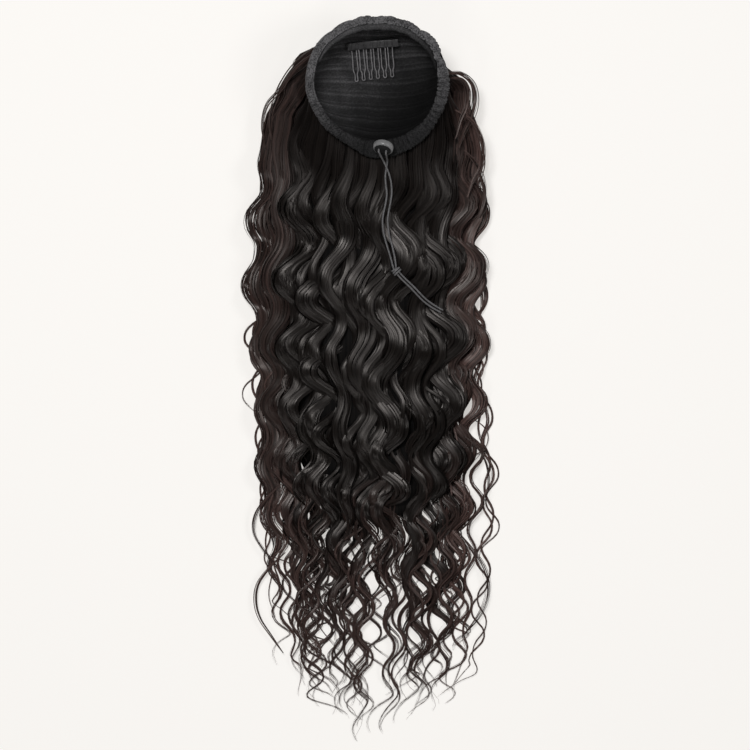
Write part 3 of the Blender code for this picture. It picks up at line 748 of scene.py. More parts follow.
def casing_point(angle, turn):
    """Points of the puckered hem: angle runs round the cap, turn round the hem's own section."""
    inner, outer = casing_value("inner", angle), casing_value("outer", angle)
    pucker = casing_value("pucker", angle)
    wander = 2.4 * np.sin(5 * angle + 1) + 1.5 * np.sin(11 * angle)
    gather = np.exp(-((np.sin(27 * angle + wander + 0.55 * np.sin(turn)) / 0.30) ** 2))
    fold = np.exp(-((np.sin(19 * angle + 1.7 * wander + 1.1 * np.sin(turn + 1)) / 0.22) ** 2))
    crease = (gather + 0.7 * fold) * smooth((pucker - 0.45) / 0.5)
    scallop = 2 * np.abs(np.cos(SCALLOPS / 2 * (angle + SCALLOP_TURN) - TURN / 8)) ** 0.7 - 1.5
    top_band = smooth((np.sin(angle) - 0.55) / 0.3)
    rounded = scallop * (0.2 + 1.5 * top_band)
    degrees = np.degrees(angle) % 360
    flap = 1.8 * np.exp(-(((degrees - 38) / 11) ** 2)) - 2.6 * np.exp(-(((degrees - 24) / 2.6) ** 2))
    half_width = (outer - inner) / 2 + pucker * 0.3 * rounded - 0.3 + 0.3 * flap
    radius = (inner + outer) / 2 + pucker * 0.5 * rounded + 0.7 * flap
    half_height = CASING_THICKNESS / MM / 2 - 0.1
    depth = 2.0 * crease * pucker * smooth((np.sin(turn) + 0.7) / 0.8)
    out = radius + (half_width - 0.9 * depth) * np.cos(turn)
    up = casing_value("middle_height", angle) + (half_height - depth) * np.sin(turn)
    return round_cap(out, angle, up)


def build_casing(finish):
    around = 720
    sides = 24
    angles = np.arange(around) * TURN / around
    turns = np.arange(sides) * TURN / sides
    angle, turn = np.meshgrid(angles, turns, indexing="ij")
    points = casing_point(angle, turn)
    return mesh_object("puckered_hem", points.reshape(-1, 3), grid_faces(around, sides, True, True), finish)


def hem_line(start, end, turn, lift, steps):
    """Points just above the hem, from one direction to another, in degrees."""
    angles = np.radians(np.linspace(start, end, steps))
    return casing_point(angles, np.full(steps, turn)) + np.array([0, 0, lift])


def build_stitches(finish):
    """The stitches that close the hem over its top."""
    parts = []
    count = 46
    line = hem_line(*STITCHED, TURN * 0.385, 0.25 * MM, count * 4)
    for step in range(0, len(line) - 3, 4):
        dash = line[step : step + 3]
        parts.append(tube(dash, [0.32 * MM, 0.46 * MM, 0.32 * MM], 6))
    points, faces = joined(parts)
    return mesh_object("hem_stitches", points, faces, finish)


def build_hem_folds(finish):
    """The rolled edge inside the hem's left, and the fold outside its upper left."""
    steps = 90
    swell = np.sin(np.linspace(0.12, TURN / 2 - 0.12, steps)) ** 0.6
    rolled = tube(hem_line(*ROLLED_EDGE, TURN * 0.40, 0.2 * MM, steps), 1.0 * MM * swell, 10)
    fold = tube(hem_line(*OUTER_FOLD, TURN * 0.12, 0.2 * MM, steps), 1.1 * MM * swell, 10)
    points, faces = joined([rolled, fold])
    return mesh_object("hem_folds", points, faces, finish)


def build_inner_band(finish):
    """The net's gathered edge, which shows below the hem at the top of the mouth."""
    steps = 140
    angle = np.radians(np.linspace(*GATHERED_EDGE, steps))
    swell = np.sin(np.linspace(0.1, TURN / 2 - 0.1, steps)) ** 0.5
    radius = casing_value("inner", angle) - 1.6 * swell
    height = casing_value("middle_height", angle) - 2.2
    gathers = 1 + 0.1 * np.sin(23 * angle) + 0.06 * np.sin(61 * angle)
    points, faces = tube(round_cap(radius, angle, height), 3.1 * MM * swell * gathers, 14)
    tone = greys(np.full(len(points), 0.8))
    return mesh_object("gathered_net_edge", points, faces, finish, tone=tone)


# The comb


def comb_place(point):
    rise = COMB_BEND_RADIUS * (1 - math.cos(point.x / COMB_BEND_RADIUS))
    bent = Vector((point.x, point.y, point.z + rise))
    sloped = Matrix.Rotation(COMB_SLOPE, 3, "X") @ bent
    turned = Matrix.Rotation(COMB_TURN, 3, "Z") @ sloped
    return COMB_MIDDLE + turned + Vector((0, 0, COMB_LIFT))


def tine_route(middle):
    """One wire loop: down from the spine, narrowing past its shoulder, round the tip and back."""
    length = TINE_LENGTH - 1.2 * MM - 0.04 * middle
    top = -SPINE.y / 2 + 1.5 * MM
    bowed = -SPINE.y / 2 - 0.3 * length
    shoulder = -SPINE.y / 2 - 0.62 * length
    waist = -SPINE.y / 2 - 0.78 * length
    tip = -SPINE.y / 2 - length + TINE_TIP
    left = [(-TINE_SHOULDER, top), (0.2 * MM - TINE_SHOULDER, bowed), (-TINE_SHOULDER, shoulder)]
    left += [(0.25 * MM - TINE_TIP, waist), (-TINE_TIP, tip)]
    bow = [(TINE_TIP * math.sin(a), tip - TINE_TIP * math.cos(a)) for a in (-0.8, 0.0, 0.8)]
    right = [(-x, y) for x, y in reversed(left)]
    return [Vector((middle + x, y, 0)) for x, y in left + bow + right]


def build_comb(finish):
    """A rounded bar with the wires wound over it, and six wire loops."""
    parts = []
    slices = 60
    sides = 16
    bar = []
    for i in range(slices + 1):
        x = SPINE.x * (i / slices - 0.5)
        end = min(1.0, 0.35 + 18 * (0.5 - abs(i / slices - 0.5)))
        for side in range(sides):
            turn = TURN * side / sides
            square = abs(math.cos(turn)) ** 0.45 * math.copysign(1, math.cos(turn))
            raised = abs(math.sin(turn)) ** 0.8 * math.copysign(1, math.sin(turn))
            y = SPINE.y / 2 * square * (0.9 + 0.1 * end)
            z = (SPINE.z / 2 - 0.2 * MM) * raised * end
            bar.append(comb_place(Vector((x, y, z))))
    parts.append((np.array([list(p) for p in bar]), grid_faces(slices + 1, sides, wrap_columns=True)))
    middles = [(i - (TINES - 1) / 2) * TINE_PITCH + TINE_SHIFT for i in range(TINES)]
    for middle in middles:
        for side in (-1, 1):
            x = middle + side * TINE_SHOULDER
            over = []
            for turn in np.linspace(0, TURN / 2, 9):
                height = (SPINE.z / 2 - 0.12 * MM) * math.sin(turn) ** 0.5
                over.append(comb_place(Vector((x, -SPINE.y / 2 * math.cos(turn), height))))
            parts.append(tube(over, 0.42 * MM, 8))
    dark = sum(len(points) for points, _ in parts)
    for middle in middles:
        wire = catmull_rom([comb_place(point) for point in tine_route(middle)], 0.7 * MM)
        parts.append(tube(wire, TINE_WIRE / 2, 10))
    points, faces = joined(parts)
    tone = greys(np.where(np.arange(len(points)) < dark, 0.17, 1.0))
    return mesh_object("wire_comb", points, faces, finish, tone=tone)


# The cord lock and the cord


def lock_frame():
    turned = Matrix.Rotation(LOCK_TURN, 4, "Z") @ Matrix.Rotation(TURN / 4 - LOCK_TILT, 4, "X")
    return Matrix.Translation(LOCK_CENTRE) @ turned


def cord_points(route):
    return catmull_rom([Vector(point) * MM for point in route], CORD_STEP)


def cord_curve(name, route, finish):
    curve = bpy.data.curves.new(name, "CURVE")
    curve.dimensions = "3D"
    curve.bevel_depth = CORD_DIAMETER / 2
    curve.bevel_resolution = 4
    curve.use_fill_caps = True
    curve.materials.append(finish)
    points = cord_points(route)
    spline = curve.splines.new("POLY")
    spline.points.add(len(points) - 1)
    for target, point in zip(spline.points, points):
        target.co = (*point, 1)
    spline.use_smooth = True
    length = sum((b - a).length for a, b in zip(points, points[1:]))
    return scene_object(name, curve), points[0], length


def build_cords(finish):
    """The two strands from the bores to the knot, the tails beyond it, and the knot itself."""
    knot = build_knot(finish)
    made = [knot]
    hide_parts("cord_knot")
    routes = {"left_strand": LEFT_STRAND, "right_strand": RIGHT_STRAND}
    for name, route in routes.items():
        strand, start, length = cord_curve(name, route, finish)
        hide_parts(f"cord_{name}")
        made.append(strand)
    routes = {"left_tail": LEFT_TAIL, "right_tail": RIGHT_TAIL}
    for name, route in routes.items():
        tail, start, length = cord_curve(name, route, finish)
        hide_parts(f"cord_{name}")
        made.append(tail)
    return made


def build_knot(finish):
    """The overhand knot: two wraps of the doubled cord round itself, drawn tight."""
    frame = Matrix.Translation(KNOT_MIDDLE) @ Matrix.Rotation(KNOT_TURN, 4, "Z")
    radius = CORD_DIAMETER / 2
    parts = []
    for shift, lean in ((-1.7, 0.6), (0.5, 0.6), (1.6, -0.5)):
        loop = []
        for step in range(40):
            turn = TURN * step / 40
            x = 3.5 * MM * math.cos(turn)
            z = 1.6 * MM * math.sin(turn)
            y = shift * MM + lean * MM * math.cos(turn)
            loop.append(frame @ Vector((x, y, z)))
        parts.append(tube(loop, radius, 12, closed=True))
    for side in (-1, 1):
        through = [(side * 1.3, 3.4, 0), (side * 1.1, 1.6, 0.2)]
        through += [(side * 1.1, -1.4, 0.2), (side * 1.3, -3.2, 0)]
        points = catmull_rom([frame @ (Vector(point) * MM) for point in through], 0.6 * MM)
        parts.append(tube(points, radius * 0.98, 12))
    points, faces = joined(parts)
    return mesh_object("cord_knot_wraps", points, faces, finish)


def build_lock(finish, shaded_face_finish):
    """A turned disc with a rounded edge, a shallow step on its face and two bores."""
    radius, half, edge = LOCK_DIAMETER / 2, LOCK_THICKNESS / 2, LOCK_EDGE
    outline = [(0.02 * MM, half), (radius * 0.62, half), (radius * 0.68, half - 0.25 * MM)]
    for step in range(7):
        turn = TURN / 4 * (1 - step / 6)
        x = radius - edge + edge * math.cos(turn)
        outline.append((x, half - edge - 0.25 * MM + edge * math.sin(turn)))
    lower = [(x, -z) for x, z in reversed(outline[3:])]
    outline += [*lower, (radius * 0.6, -half), (0.02 * MM, -half)]
    around = 96
    points = []
    for x, z in outline:
        for step in range(around):
            turn = TURN * step / around
            points.append((x * math.cos(turn), x * math.sin(turn), z))
    faces = grid_faces(len(outline), around, wrap_columns=True)
    lock = mesh_object("cord_lock_disc", np.array(points), faces, finish)
    shape = bmesh.new()
    shape.from_mesh(lock.data)
    bmesh.ops.remove_doubles(shape, verts=shape.verts, dist=0.05 * MM)
    bmesh.ops.holes_fill(shape, edges=[e for e in shape.edges if e.is_boundary])
    bmesh.ops.recalc_face_normals(shape, faces=shape.faces)
    shape.to_mesh(lock.data)
    shape.free()
    cut_mesh = bored(lock)
    # Painted shade: the face and the middle take the dark copy of the plastic, the edge the lit one.
    cut_mesh.materials.append(shaded_face_finish)
    face_height = half - 0.35 * MM
    for polygon in cut_mesh.polygons:
        on_face = abs(polygon.center.z) > face_height
        near_middle = polygon.center.xy.length < radius * 0.5
        polygon.material_index = int(on_face or near_middle)
    lock.matrix_world = lock_frame()
    return lock


def bored(lock):
    """The lock's mesh with its two bores cut through it."""
    drills = []
    for side in (-1, 1):
        drill = bmesh.new()
        size = LOCK_BORE / 2
        bmesh.ops.create_cone(drill, cap_ends=True, segments=32, radius1=size, radius2=size, depth=0.05)
        bmesh.ops.translate(drill, verts=drill.verts, vec=(side * LOCK_BORE_SPACING / 2, 0, 0))
        mesh = bpy.data.meshes.new("drill")
        drill.to_mesh(mesh)
        drill.free()
        cutter = scene_object("drill", mesh)
        cut = lock.modifiers.new("bore", "BOOLEAN")
        cut.object = cutter
        drills.append(cutter)
    bpy.context.view_layer.update()
    cut_mesh = bpy.data.meshes.new_from_object(lock.evaluated_get(bpy.context.evaluated_depsgraph_get()))
    lock.modifiers.clear()
    lock.data = cut_mesh
    for cutter in drills:
        bpy.data.objects.remove(cutter)
    cut_mesh.shade_smooth()
    cut_mesh.set_sharp_from_angle(angle=math.radians(50))
    return cut_mesh


# The hair


def mound_edges(y):
    """The left edge, right edge and top of the hair mass at arrays of places along it."""
    return [table_value(HAIR_SECTIONS, name, "along", y / MM) * MM for name in ("left", "right", "top")]


def mound_height(x, y):
    left, right, top = mound_edges(y)
    across = (x - (left + right) / 2) / np.maximum((right - left) / 2, MM)
    return top * np.sqrt(np.maximum(0.0, 1 - np.abs(across) ** MOUND_ROUNDNESS))


def waves_at(y, across):
    """How many waves the hair has made on its way to a place, at its edges and in its middle."""
    found = []
    for table in (EDGE_CRESTS, MIDDLE_CRESTS):
        crests = np.array(table, float) * MM
        found.append(np.interp(-y, -crests, np.arange(len(crests))))
    edge = smooth((np.abs(across) - 0.35) / 0.55)
    return found[0] * edge + found[1] * (1 - edge)


def along(paths):
    """The unit direction of each path at each of its points."""
    way = np.gradient(paths, axis=1)
    return way / (np.linalg.norm(way, axis=2, keepdims=True) + 1e-12)


def ribbons(name, paths, normals, widths, tones, finish):
    """Each strand as a narrow ribbon along its path, facing the way of its normals."""
    aside = np.cross(along(paths), normals)
    aside /= np.linalg.norm(aside, axis=2, keepdims=True) + 1e-12
    half = widths[:, :, None] / 2
    points = np.stack([paths - aside * half, paths + aside * half], axis=2)
    strands, samples = paths.shape[:2]
    index = np.arange(strands * samples * 2).reshape(strands, samples, 2)
    corners = [index[:, :-1, 0], index[:, :-1, 1], index[:, 1:, 1], index[:, 1:, 0]]
    faces = np.stack([corner.ravel() for corner in corners], axis=1)
    travel = np.linspace(0, 1, samples)
    start = np.tile(travel[:-1], (strands, 1))
    end = np.tile(travel[1:], (strands, 1))
    zero, one = np.zeros_like(start), np.ones_like(start)
    uv = np.stack([zero, start, one, start, one, end, zero, end], axis=-1).reshape(-1, 2)
    tone = np.repeat(tones[:, :, None], 2, axis=2)
    return mesh_object(name, points.reshape(-1, 3), faces, finish, tone=tone.reshape(-1, 4), across=uv)


def strand_tones(samples, lightness, backlit_brown, near_cap):
    tones = np.ones((len(lightness), samples, 4))
    tones[:, :, 0] = lightness[:, None]
    tones[:, :, 1] = backlit_brown
    tones[:, :, 2] = near_cap
    return tones


def lock_values():
    """The place across the hair, depth in it and width of each lock, layer by layer."""
    rows = []
    for layer in LAYERS:
        for i in range(layer.locks):
            across = (2 * (i + 0.5) / layer.locks - 1) * layer.spread + rng.normal(0, 0.016)
            depth = layer.depth + rng.normal(0, 0.05)
            rows.append((across, depth, layer.half_width * rng.uniform(0.6, 1.35)))
    rows += [(across, rng.uniform(0.3, 0.9), 5.0) for across in STRAYS]
    table = np.array(rows)
    return table[:, 0], table[:, 1], table[:, 2] * MM


def below_cord(paths):
    """Press the strands down where the cord lies on them."""
    reach = 3.5 * MM
    for route in (LEFT_STRAND, RIGHT_STRAND, LEFT_TAIL, RIGHT_TAIL):
        for point in cord_points(route)[3:]:
            away = np.hypot(paths[:, :, 0] - point.x, paths[:, :, 1] - point.y)
            ease = np.maximum(0, away - 0.6 * reach) ** 2 / reach * 3
            ceiling = point.z - CORD_DIAMETER / 2 - 0.9 * MM + ease
            near = away < 2 * reach
            paths[:, :, 2] = np.where(near, np.minimum(paths[:, :, 2], ceiling), paths[:, :, 2])


def clear_of_bowl(x, y):
    """Places moved outwards from the cap's middle to where the bowl leaves room for them."""
    away_x, away_y = x - CAP_CENTRE.x, y - CAP_CENTRE.y
    away = np.maximum(np.hypot(away_x, away_y), MM)
    bearing = np.arctan2(away_y, away_x)
    bowl_radius = (casing_value("inner", bearing) + casing_value("outer", bearing)) / 2 * MM
    push = np.maximum(away, bowl_radius + BOWL_ROOM) / away
    return CAP_CENTRE.x + away_x * push, CAP_CENTRE.y + away_y * push


def off_the_ground(z):
    """Heights eased up, so that none is below the lowest one for hair."""
    lowest = 0.8 * MM
    soft = 4 * MM
    return np.where(z < soft, lowest + (soft - lowest) * np.exp(np.minimum(0, z - soft) / soft), z)


def strand_paths():
    """The paths, normals, widths and tones of all the strands that run down to the tips."""
    across, depth, half_width = lock_values()
    locks = len(across)
    crest_turn = np.where(across + rng.normal(0, 0.06, locks) > WAVE_PARTING, TURN / 2, 0.0)
    lock_lag = -TURN * table_value(LAGS, "waves", "across", across)
    lock_phase = rng.normal(0, 0.62, locks)
    lock_drift = rng.normal(0, 1.5, locks)
    lock_size = rng.uniform(0.6, 1.25, locks)
    lock_tip = LONGEST_LOCK + EDGE_SHORTER * np.abs(across) ** 1.8
    lock_tip = lock_tip + LOCK_SHORTER * rng.uniform(0, 1, locks) ** 1.6
    lock_bend = rng.normal(0, 0.09, locks)
    lock_roll = rng.uniform(-0.5, 0.5, locks)
    lock_lift = rng.normal(0, 1.6 * MM, locks)
    lock_wander = rng.uniform(0, TURN, locks)
    lock_swell = rng.uniform(0, TURN, locks)

    strings = locks * STRING_COUNT
    of_lock = np.repeat(np.arange(locks), STRING_COUNT)
    string_turn = np.tile((np.arange(STRING_COUNT) + 0.5) * TURN / STRING_COUNT, locks)
    stray = np.arange(locks) >= locks - len(STRAYS)
    string_away = rng.uniform(0.4, 1.0, strings) * np.where(stray[of_lock], 0.5, 1.0)
    string_phase = rng.normal(0, 1.1, strings)
    string_short = rng.uniform(0, 1, strings) ** 0.8 * 200 * MM * np.tile([0.08, 1.0, 1.25], locks)
    string_tip = lock_tip[of_lock] + string_short
    string_bend = rng.normal(0, 12 * MM, strings)
    string_size = rng.uniform(0.55, 1.25, strings)
    curl_turn = rng.uniform(-1, 1, strings) * 1.1 * TURN
    curl_size = rng.uniform(3, 13, strings) * MM

    tips = np.random.default_rng(TIP_SEED)
    clump_place = np.linspace(-0.95, 0.95, TIP_CLUMPS) + tips.normal(0, 0.025, TIP_CLUMPS)
    clump_phase = tips.normal(0, 1.3, TIP_CLUMPS)
    clump_size = tips.uniform(0.65, 1.3, TIP_CLUMPS)
    clump_bend = tips.normal(0, 4 * MM, TIP_CLUMPS)
    string_place = across[of_lock] + 0.06 * np.cos(string_turn) + tips.normal(0, 0.03, strings)
    clump = np.clip(np.round((string_place + 1) / 2 * (TIP_CLUMPS - 1)), 0, TIP_CLUMPS - 1).astype(int)
    string_gather = tips.uniform(0.6, 1.0, strings) * np.where(stray[of_lock], 0.0, 1.0)
    lock_late = 0.2 * tips.uniform(0, 1, locks) ** 1.8 * np.where(stray, 0.0, 1.0)

    count = strings * STRAND_COUNT
    of_string = np.repeat(np.arange(strings), STRAND_COUNT)
    lock = of_lock[of_string]
    in_string = np.tile(np.arange(STRAND_COUNT) / STRAND_COUNT, strings)
    strand_turn = in_string * TURN + rng.normal(0, 0.2, count)
    strand_away = np.sqrt(rng.uniform(0.5, 1.0, count))
    skin_turn = string_turn[of_string] + (in_string - 0.5) * TURN / STRING_COUNT + rng.normal(0, 0.06, count)
    skin_away = rng.uniform(0.7, 1.05, count)
    loose = rng.uniform(0, 1, count) < LOOSE_SHARE
    strand_tip = string_tip[of_string] + rng.uniform(0, 1, count) ** 2 * 70 * MM
    strand_phase = rng.normal(0, 0.13, count) + loose * rng.normal(0, 0.7, count)
    strand_phase = strand_phase * np.where(stray[lock], 0.5, 1.0)

    def column(values, index=None):
        return values[:, None] if index is None else values[index][:, None]

    a = across[lock]
    root_angle = np.radians(table_value(ROOTS, "degrees", "across", a + 0.03 * np.cos(skin_turn)))
    root_x = CAP_CENTRE.x + ROOT_RADIUS * np.cos(root_angle)
    root_y = CAP_CENTRE.y + ROOT_RADIUS * np.sin(root_angle)
    root_z = 44 * MM + 4 * MM * depth[lock] + rng.uniform(-2, 0.5, count) * MM

    share = np.interp(np.linspace(0, 1, SAMPLES), [0, 0.2, 1], [0, FINE_FROM, 1])[None, :]
    span = column(root_y - strand_tip)
    gone = share * span
    y = column(root_y) - gone
    left, right, top = mound_edges(y)
    middle = (left + right) / 2

    early = 0.04 * np.abs(a) ** 5 + 0.22 * stray[lock]
    far = gone / column(root_y - LOWEST_TIP)
    loosen = smooth((far - 0.46 - column(lock_late, lock) + column(early)) / 0.3)
    gather = column(string_gather, of_string) * loosen
    own = clump[of_string]
    tip_part = smooth((far - 0.2) / 0.8)
    near_cap = smooth((y - 160 * MM) / (80 * MM))
    middle = middle - 2.5 * near_cap * MM
    half = (right - left) / 2 - (4 - 7 * near_cap + 4 * loosen) * MM
    leave = smooth(gone / column((62 - 46 * np.abs(a) ** 3) * MM))
    growth = smooth((CAP_CENTRE.y - y - WAVE_BEGINS) / (WAVE_FULL - WAVE_BEGINS))

    q = column(a * (1 - 0.02 * np.abs(a))) + column(lock_bend, lock) * tip_part
    q = q + (column(clump_place, own) - q) * gather
    angle = TURN * waves_at(y, column(a)) + column(lock_lag, lock)
    angle = angle + (column(lock_phase, lock) + column(lock_drift, lock) * tip_part) * (1 - gather)
    angle = angle + column(clump_phase, own) * gather
    angle = angle + column(string_phase, of_string) * loosen * (1 - 0.65 * gather)
    angle = angle + column(strand_phase) * (0.3 + 0.5 * loosen)
    centred = 1 + WAVE_CENTRE_GROWTH * np.maximum(0, 1 - q**2) * (1 - 0.6 * tip_part)
    own_size = 1 + (column(string_size, of_string) - 1) * loosen * (1 - gather)
    size = growth * column(lock_size, lock) * own_size
    size = size + (growth * column(clump_size, own) - size) * gather
    swell = 0.35 * (1 - 0.7 * gather) * np.sin(gone / (75 * MM) + column(lock_swell, lock))
    size = size * (1 + swell) * (1 - 0.25 * tip_part)
    wave = -WAVE_WIDTH * size * centred * (np.cos(angle) - WAVE_FULLNESS * np.cos(3 * angle))
    wander = 4.5 * MM * growth * np.sin(gone / (58 * MM) + column(lock_wander, lock)) * (1 - 0.8 * gather)
    bend = column(string_bend, of_string) * loosen * (1 - 0.8 * gather) + column(clump_bend, own) * gather
    shoulder = 11 * MM * np.exp(-(((y - 250 * MM) / (30 * MM)) ** 2)) * np.maximum(q, 0) ** 2
    x = middle + q * half + wave + wander + bend - shoulder
    x = column(root_x) + (x - column(root_x)) * leave

    bed = top * np.sqrt(np.maximum(0.0, 1 - np.abs((x - middle) / (right - left) * 2) ** MOUND_ROUNDNESS))
    z = (bed - 7 * MM) * column(depth, lock) + column(lock_lift, lock) * smooth(bed / (30 * MM))
    z = z + WAVE_HEIGHT * size * (np.cos(angle - column(crest_turn, lock)) - 0.5) * smooth(bed / (26 * MM))
    z = column(root_z) + (z - column(root_z)) * leave
    centre = np.stack([x, y, z], axis=2)

    way = along(centre)
    flat = np.maximum(np.hypot(way[:, :, 0], way[:, :, 1]), 1e-6)
    right_x, right_y = 0.7 - 0.3 * way[:, :, 1] / flat, 0.3 * way[:, :, 0] / flat
    open_out = 0.35 + 0.65 * leave
    roll = column(lock_roll, lock) * np.sin(angle)
    skin = column(skin_turn) + 0.25 * TURN * gone / (200 * MM)
    breath = (1 + 0.28 * np.sin(gone / (38 * MM) + column(lock_wander, lock) * 3)) * (1 - 0.35 * tip_part)
    lock_u = column(half_width[lock] * skin_away) * np.cos(skin) * open_out * breath
    lock_v = column(HAIR_LOCK_THICKNESS * skin_away) * np.sin(skin) * open_out
    string_angle = column(string_turn, of_string) + 0.6 * TURN * gone / (230 * MM)
    spread = LOCK_SPREAD * column(string_away, of_string)
    turn = column(strand_turn) + 0.4 * TURN * gone / (160 * MM)
    radius = STRING_TIP_RADIUS + (STRING_RADIUS - STRING_TIP_RADIUS) * (1 - smooth(gone / span * 1.6 - 0.6))
    thin = np.where(stray[lock], 0.55, 1.0) * np.where(loose, 1.5, 1.0)
    radius = radius * column(strand_away * thin)
    string_u = np.cos(string_angle) * spread + np.cos(turn) * radius
    string_v = np.sin(string_angle) * 3.5 * MM + np.sin(turn) * radius * 0.7
    u = lock_u + (string_u - lock_u) * loosen
    v = lock_v + (string_v - lock_v) * loosen
    x = x + right_x * u * np.cos(roll)
    y = y + right_y * u * np.cos(roll)
    z = z + v + u * np.sin(roll)

    string_span = column(root_y - string_tip[of_string])
    curl = smooth((gone - (string_span - 75 * MM)) / (75 * MM)) ** 1.5
    spin = column(curl_turn, of_string) * curl
    x = x + column(curl_size, of_string) * curl * np.sin(spin)
    y = y + column(curl_size, of_string) * curl * (1 - np.cos(spin)) * 0.8

    x, y = clear_of_bowl(x, y)
    paths = np.stack([x, y, off_the_ground(z)], axis=2)
    below_cord(paths)
    lock_side = np.cos(skin) / column(half_width, lock)
    lock_up = np.sin(skin) / HAIR_LOCK_THICKNESS
    size_of = np.hypot(lock_side, lock_up)
    string_side, string_up = np.cos(turn), np.sin(turn)
    normal_u = lock_side / size_of * (1 - loosen) + string_side * loosen
    normal_v = lock_up / size_of * (1 - loosen) + string_up * loosen
    flutter = np.sin(gone / (21 * MM) + column(rng.uniform(0, TURN, count)))
    normal_u = normal_u + column(rng.normal(0, 0.24, count)) + 0.16 * flutter
    normals = np.stack([right_x * normal_u, right_y * normal_u, normal_v], axis=2)
    widths = (1.25 - 0.65 * loosen) * MM * (1 - 0.75 * smooth((gone / span - 0.9) / 0.1))
    lightness = np.clip(rng.normal(0.42, 0.2, count), 0, 1)
    # Painted backlight: the edges of the mass, more on the right, and the loose strings turn brown as thin
    # hair lit from behind.
    edge = smooth((np.abs(q) - 0.66) / 0.22) * smooth(gone / (50 * MM))
    backlight_warmth = column(rng.uniform(0.2, 1.0, count)) * np.where(q > 0, 1.0, 0.5)
    backlit_brown = np.clip(0.55 * loosen + edge * backlight_warmth, 0, 1)
    tones = strand_tones(SAMPLES, lightness, backlit_brown, smooth((y - 130 * MM) / (90 * MM)))
    return paths, normals, widths, tones


def build_hair(finish):
    paths, normals, widths, tones = strand_paths()
    made = []
    for i, chosen in enumerate(np.array_split(np.arange(len(paths)), HAIR_PIECES)):
        lot = (paths[chosen], normals[chosen], widths[chosen], tones[chosen])
        made.append(ribbons(f"hair_strands_{i}", *lot, finish))
    return made


def build_fly_locks(finish):
    """The thin locks at the edges that stand off from the mass."""
    samples = 48
    travel = np.linspace(0, 1, samples)
    paths, normals = [], []
    for fly in FLY_LOCKS:
        points = catmull_rom([Vector(point) * MM for point in fly.route], 3 * MM)
        route = np.array([list(point) for point in points])
        gone = np.concatenate([[0], np.cumsum(np.linalg.norm(np.diff(route, axis=0), axis=1))])
        centre = np.stack([np.interp(travel * gone[-1], gone, route[:, i]) for i in range(3)], axis=1)
        way = np.gradient(centre, axis=0)
        aside = np.stack([way[:, 1], -way[:, 0], np.zeros(samples)], axis=1)
        aside /= np.linalg.norm(aside, axis=1)[:, None]
        for _ in range(fly.strands):
            turn = rng.uniform(0, TURN) + TURN * 0.5 * travel
            away = fly.radius * MM * rng.uniform(0.3, 1.0) * (0.35 + 0.65 * np.sin(TURN / 2 * travel))
            stray = rng.normal(0, 1.1 * MM) * np.sin(TURN / 2 * travel)
            path = centre + aside * (away * np.cos(turn) + stray)[:, None]
            path[:, 2] = np.maximum(path[:, 2] + away * np.sin(turn), 1.2 * MM)
            paths.append(path)
            upward = np.array([0, 0, 1]) * (0.6 + np.sin(turn))[:, None]
            normals.append(aside * np.cos(turn)[:, None] + upward)
    count = len(paths)
    widths = np.full((count, samples), 0.75 * MM)
    lightness = rng.uniform(0.2, 0.8, count)
    # Painted backlight: the thin fly-away locks are partly brown, as hair lit from behind.
    tones = strand_tones(samples, lightness, rng.uniform(0.15, 0.7, count)[:, None], 0.2)
    return ribbons("fly_away_locks", np.array(paths), np.array(normals), widths, tones, finish)


def build_core(finish):
    """The dark mass inside the hair, painted shade where the hair is deep, kept clear of the bowl."""
    rows, columns = 130, 44
    share = np.linspace(0, 1, rows)[:, None]
    y = (CORE_FROM - (CORE_FROM - CORE_TO) * share) * MM + np.zeros((1, columns))
    u = np.linspace(-1, 1, columns)[None, :] + np.zeros((rows, 1))
    left, right, _ = mound_edges(y)
    narrowed = np.clip((-10 * MM - y) / (122 * MM), 0, 1)
    drawn_in = (27 + 20 * smooth((y - 205 * MM) / (50 * MM))) * MM
    half = np.maximum((right - left) / 2 - drawn_in, MM) * np.sqrt(1 - 0.96 * narrowed**2)
    x = (left + right) / 2 + u * half
    z = np.maximum(1.5 * MM, mound_height(x, y) - 13 * MM)
    away = np.hypot(x - CAP_CENTRE.x, y - CAP_CENTRE.y) - 6 * MM
    inside = np.clip(away / (57 * MM), 0, 1)
    down = np.clip(1 - inside**NET_ROUNDNESS, 0, 1) ** (1 / NET_ROUNDNESS)
    under_bowl = 52 * MM - (52 * MM - NET_FLOOR) * down - NET_THICKNESS - 1.5 * MM
    z = np.where(away < 57 * MM, np.minimum(z, under_bowl), z)
    rounded = np.sqrt(np.clip(1 - np.abs(u) ** 6, 0, 1))
    z = np.minimum(z, 46 * MM) * rounded * smooth((270 * MM - y) / (24 * MM)) + 0.6 * MM
    upper = np.stack([x, y, z], axis=2).reshape(-1, 3)
    lower = np.stack([x, y, np.full_like(x, 0.5 * MM)], axis=2).reshape(-1, 3)
    faces = grid_faces(rows, columns)
    count = rows * columns
    loop, after = rim(rows, columns)
    edge = np.stack([loop, after, after + count, loop + count], axis=1)
    faces = np.concatenate([faces[:, ::-1], faces + count, edge[:, ::-1]])
    return mesh_object("hair_core", np.concatenate([upper, lower]), faces, finish)


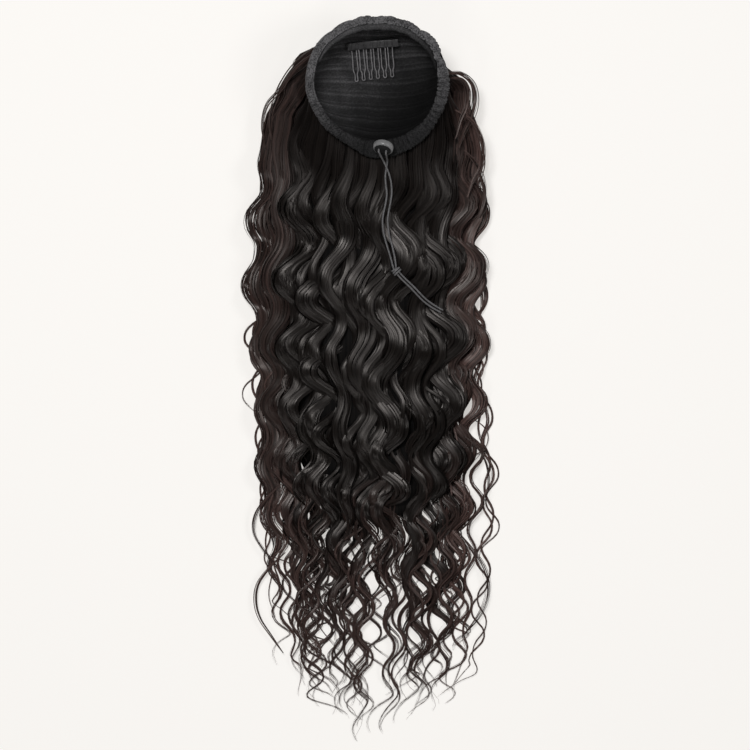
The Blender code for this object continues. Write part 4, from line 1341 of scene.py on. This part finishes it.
def build_crown(finish):
    """The hair that is sewn on round the cap: it lies close over the bowl and runs under it."""
    count = 900
    samples = 26
    base = NET_THICKNESS + 3 * CLEARANCE
    angle0 = rng.uniform(*[math.radians(end) for end in CROWN_DEGREES], count)
    clump = np.sin(31 * angle0)
    layer = rng.uniform(0.0, 1.0, count)
    share = np.linspace(0.975, 0.30, samples)[None, :] + np.zeros((count, 1))
    lean = rng.normal(0, 0.07, count)[:, None] + 0.05 * np.sin(9 * angle0)[:, None]
    travel = np.linspace(0, 1, samples)[None, :]
    angle = angle0[:, None] + lean * travel + 0.02 * np.sin(TURN * (1.4 * travel + 2 * angle0[:, None]))
    full = smooth((0.97 - share) / 0.3)
    proud = 5.0 * np.exp(-(((angle0 - math.radians(140)) / math.radians(13)) ** 2))
    thick = 4.6 * layer[:, None] + 0.8 * clump[:, None] + proud[:, None] * layer[:, None]
    depth = (0.9 + thick * full) * MM
    paths = bowl_points(share, angle, base + depth)
    paths[:, :, 2] = np.maximum(paths[:, :, 2], (0.7 + 1.5 * layer[:, None]) * MM)
    outward = np.stack([np.cos(angle), np.sin(angle), np.zeros_like(angle)], axis=2)
    lift = np.stack([np.zeros_like(angle)] * 2 + [-np.ones_like(angle)], axis=2)
    ruffled = rng.normal(0, 0.15, (count, 1, 3))
    normals = outward * share[:, :, None] + lift * (1 - share[:, :, None]) + ruffled
    widths = np.full((count, samples), 1.5 * MM) * (1 - 0.4 * travel)
    lightness = np.clip(rng.normal(0.4, 0.2, count), 0, 1)
    # The crown takes the full painted shade on its highlights.
    tones = strand_tones(samples, lightness, 0.0, 1.0)
    return ribbons("hair_round_cap", paths, normals, widths, tones, finish)


# The setting


def build_camera():
    data = bpy.data.cameras.new("camera")
    data.lens = LENS
    data.sensor_width = SENSOR
    camera = scene_object("camera", data)
    distance = PIXEL * PICTURE_SIDE * LENS / SENSOR
    camera.location = CAMERA_MIDDLE + Vector((0, 0, FOCUS_HEIGHT + distance))
    data.clip_end = 20
    bpy.context.scene.camera = camera


def area_light(name, place, size, power):
    """A round light that faces the middle of the floor."""
    data = bpy.data.lights.new(name, "AREA")
    data.shape = "DISK"
    data.size = size
    data.energy = power
    light = scene_object(name, data)
    light.location = place
    light.rotation_mode = "QUATERNION"
    light.rotation_quaternion = (Vector((0, 0, 0)) - Vector(place)).to_track_quat("-Z", "Y")


def build_setting():
    reach = 6.0
    corners = np.array([(-reach, -reach, 0), (reach, -reach, 0), (reach, reach, 0), (-reach, reach, 0)])
    floor = mesh_object("floor", corners, np.array([[0, 1, 2, 3]]), floor_material())
    for light in LIGHTS:
        area_light(*light)
    world = bpy.data.worlds.new("world")
    bpy.context.scene.world = world
    world.use_nodes = True
    world.node_tree.nodes["Background"].inputs["Color"].default_value = (1, 0.99, 0.975, 1)
    world.node_tree.nodes["Background"].inputs["Strength"].default_value = 0.08
    bpy.context.scene.view_settings.view_transform = "Standard"


def main():
    build_camera()
    cords = build_cords(cord_material())
    net_finish = net_material()
    net = build_net(net_finish)
    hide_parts("cap_net")
    hem_finish = hem_material()
    casing = build_casing(hem_finish)
    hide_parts("drawstring_casing")
    stitches = build_stitches(thread_material())
    folds = build_hem_folds(hem_finish)
    band = build_inner_band(net_finish)
    comb = build_comb(coated_wire_material())
    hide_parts("comb")
    lock = build_lock(lock_material(), lock_face_shade_material())
    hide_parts("cord_lock")
    hair_finish = hair_material()
    core = build_core(core_material())
    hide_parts("hair")
    strands = build_hair(hair_finish)
    crown = build_crown(hair_finish)
    fly_locks = build_fly_locks(hair_finish)
    for piece in (net, casing, stitches, folds, band, comb, lock, core, crown, fly_locks, *strands, *cords):
        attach(piece, "root")
    build_setting()


main()
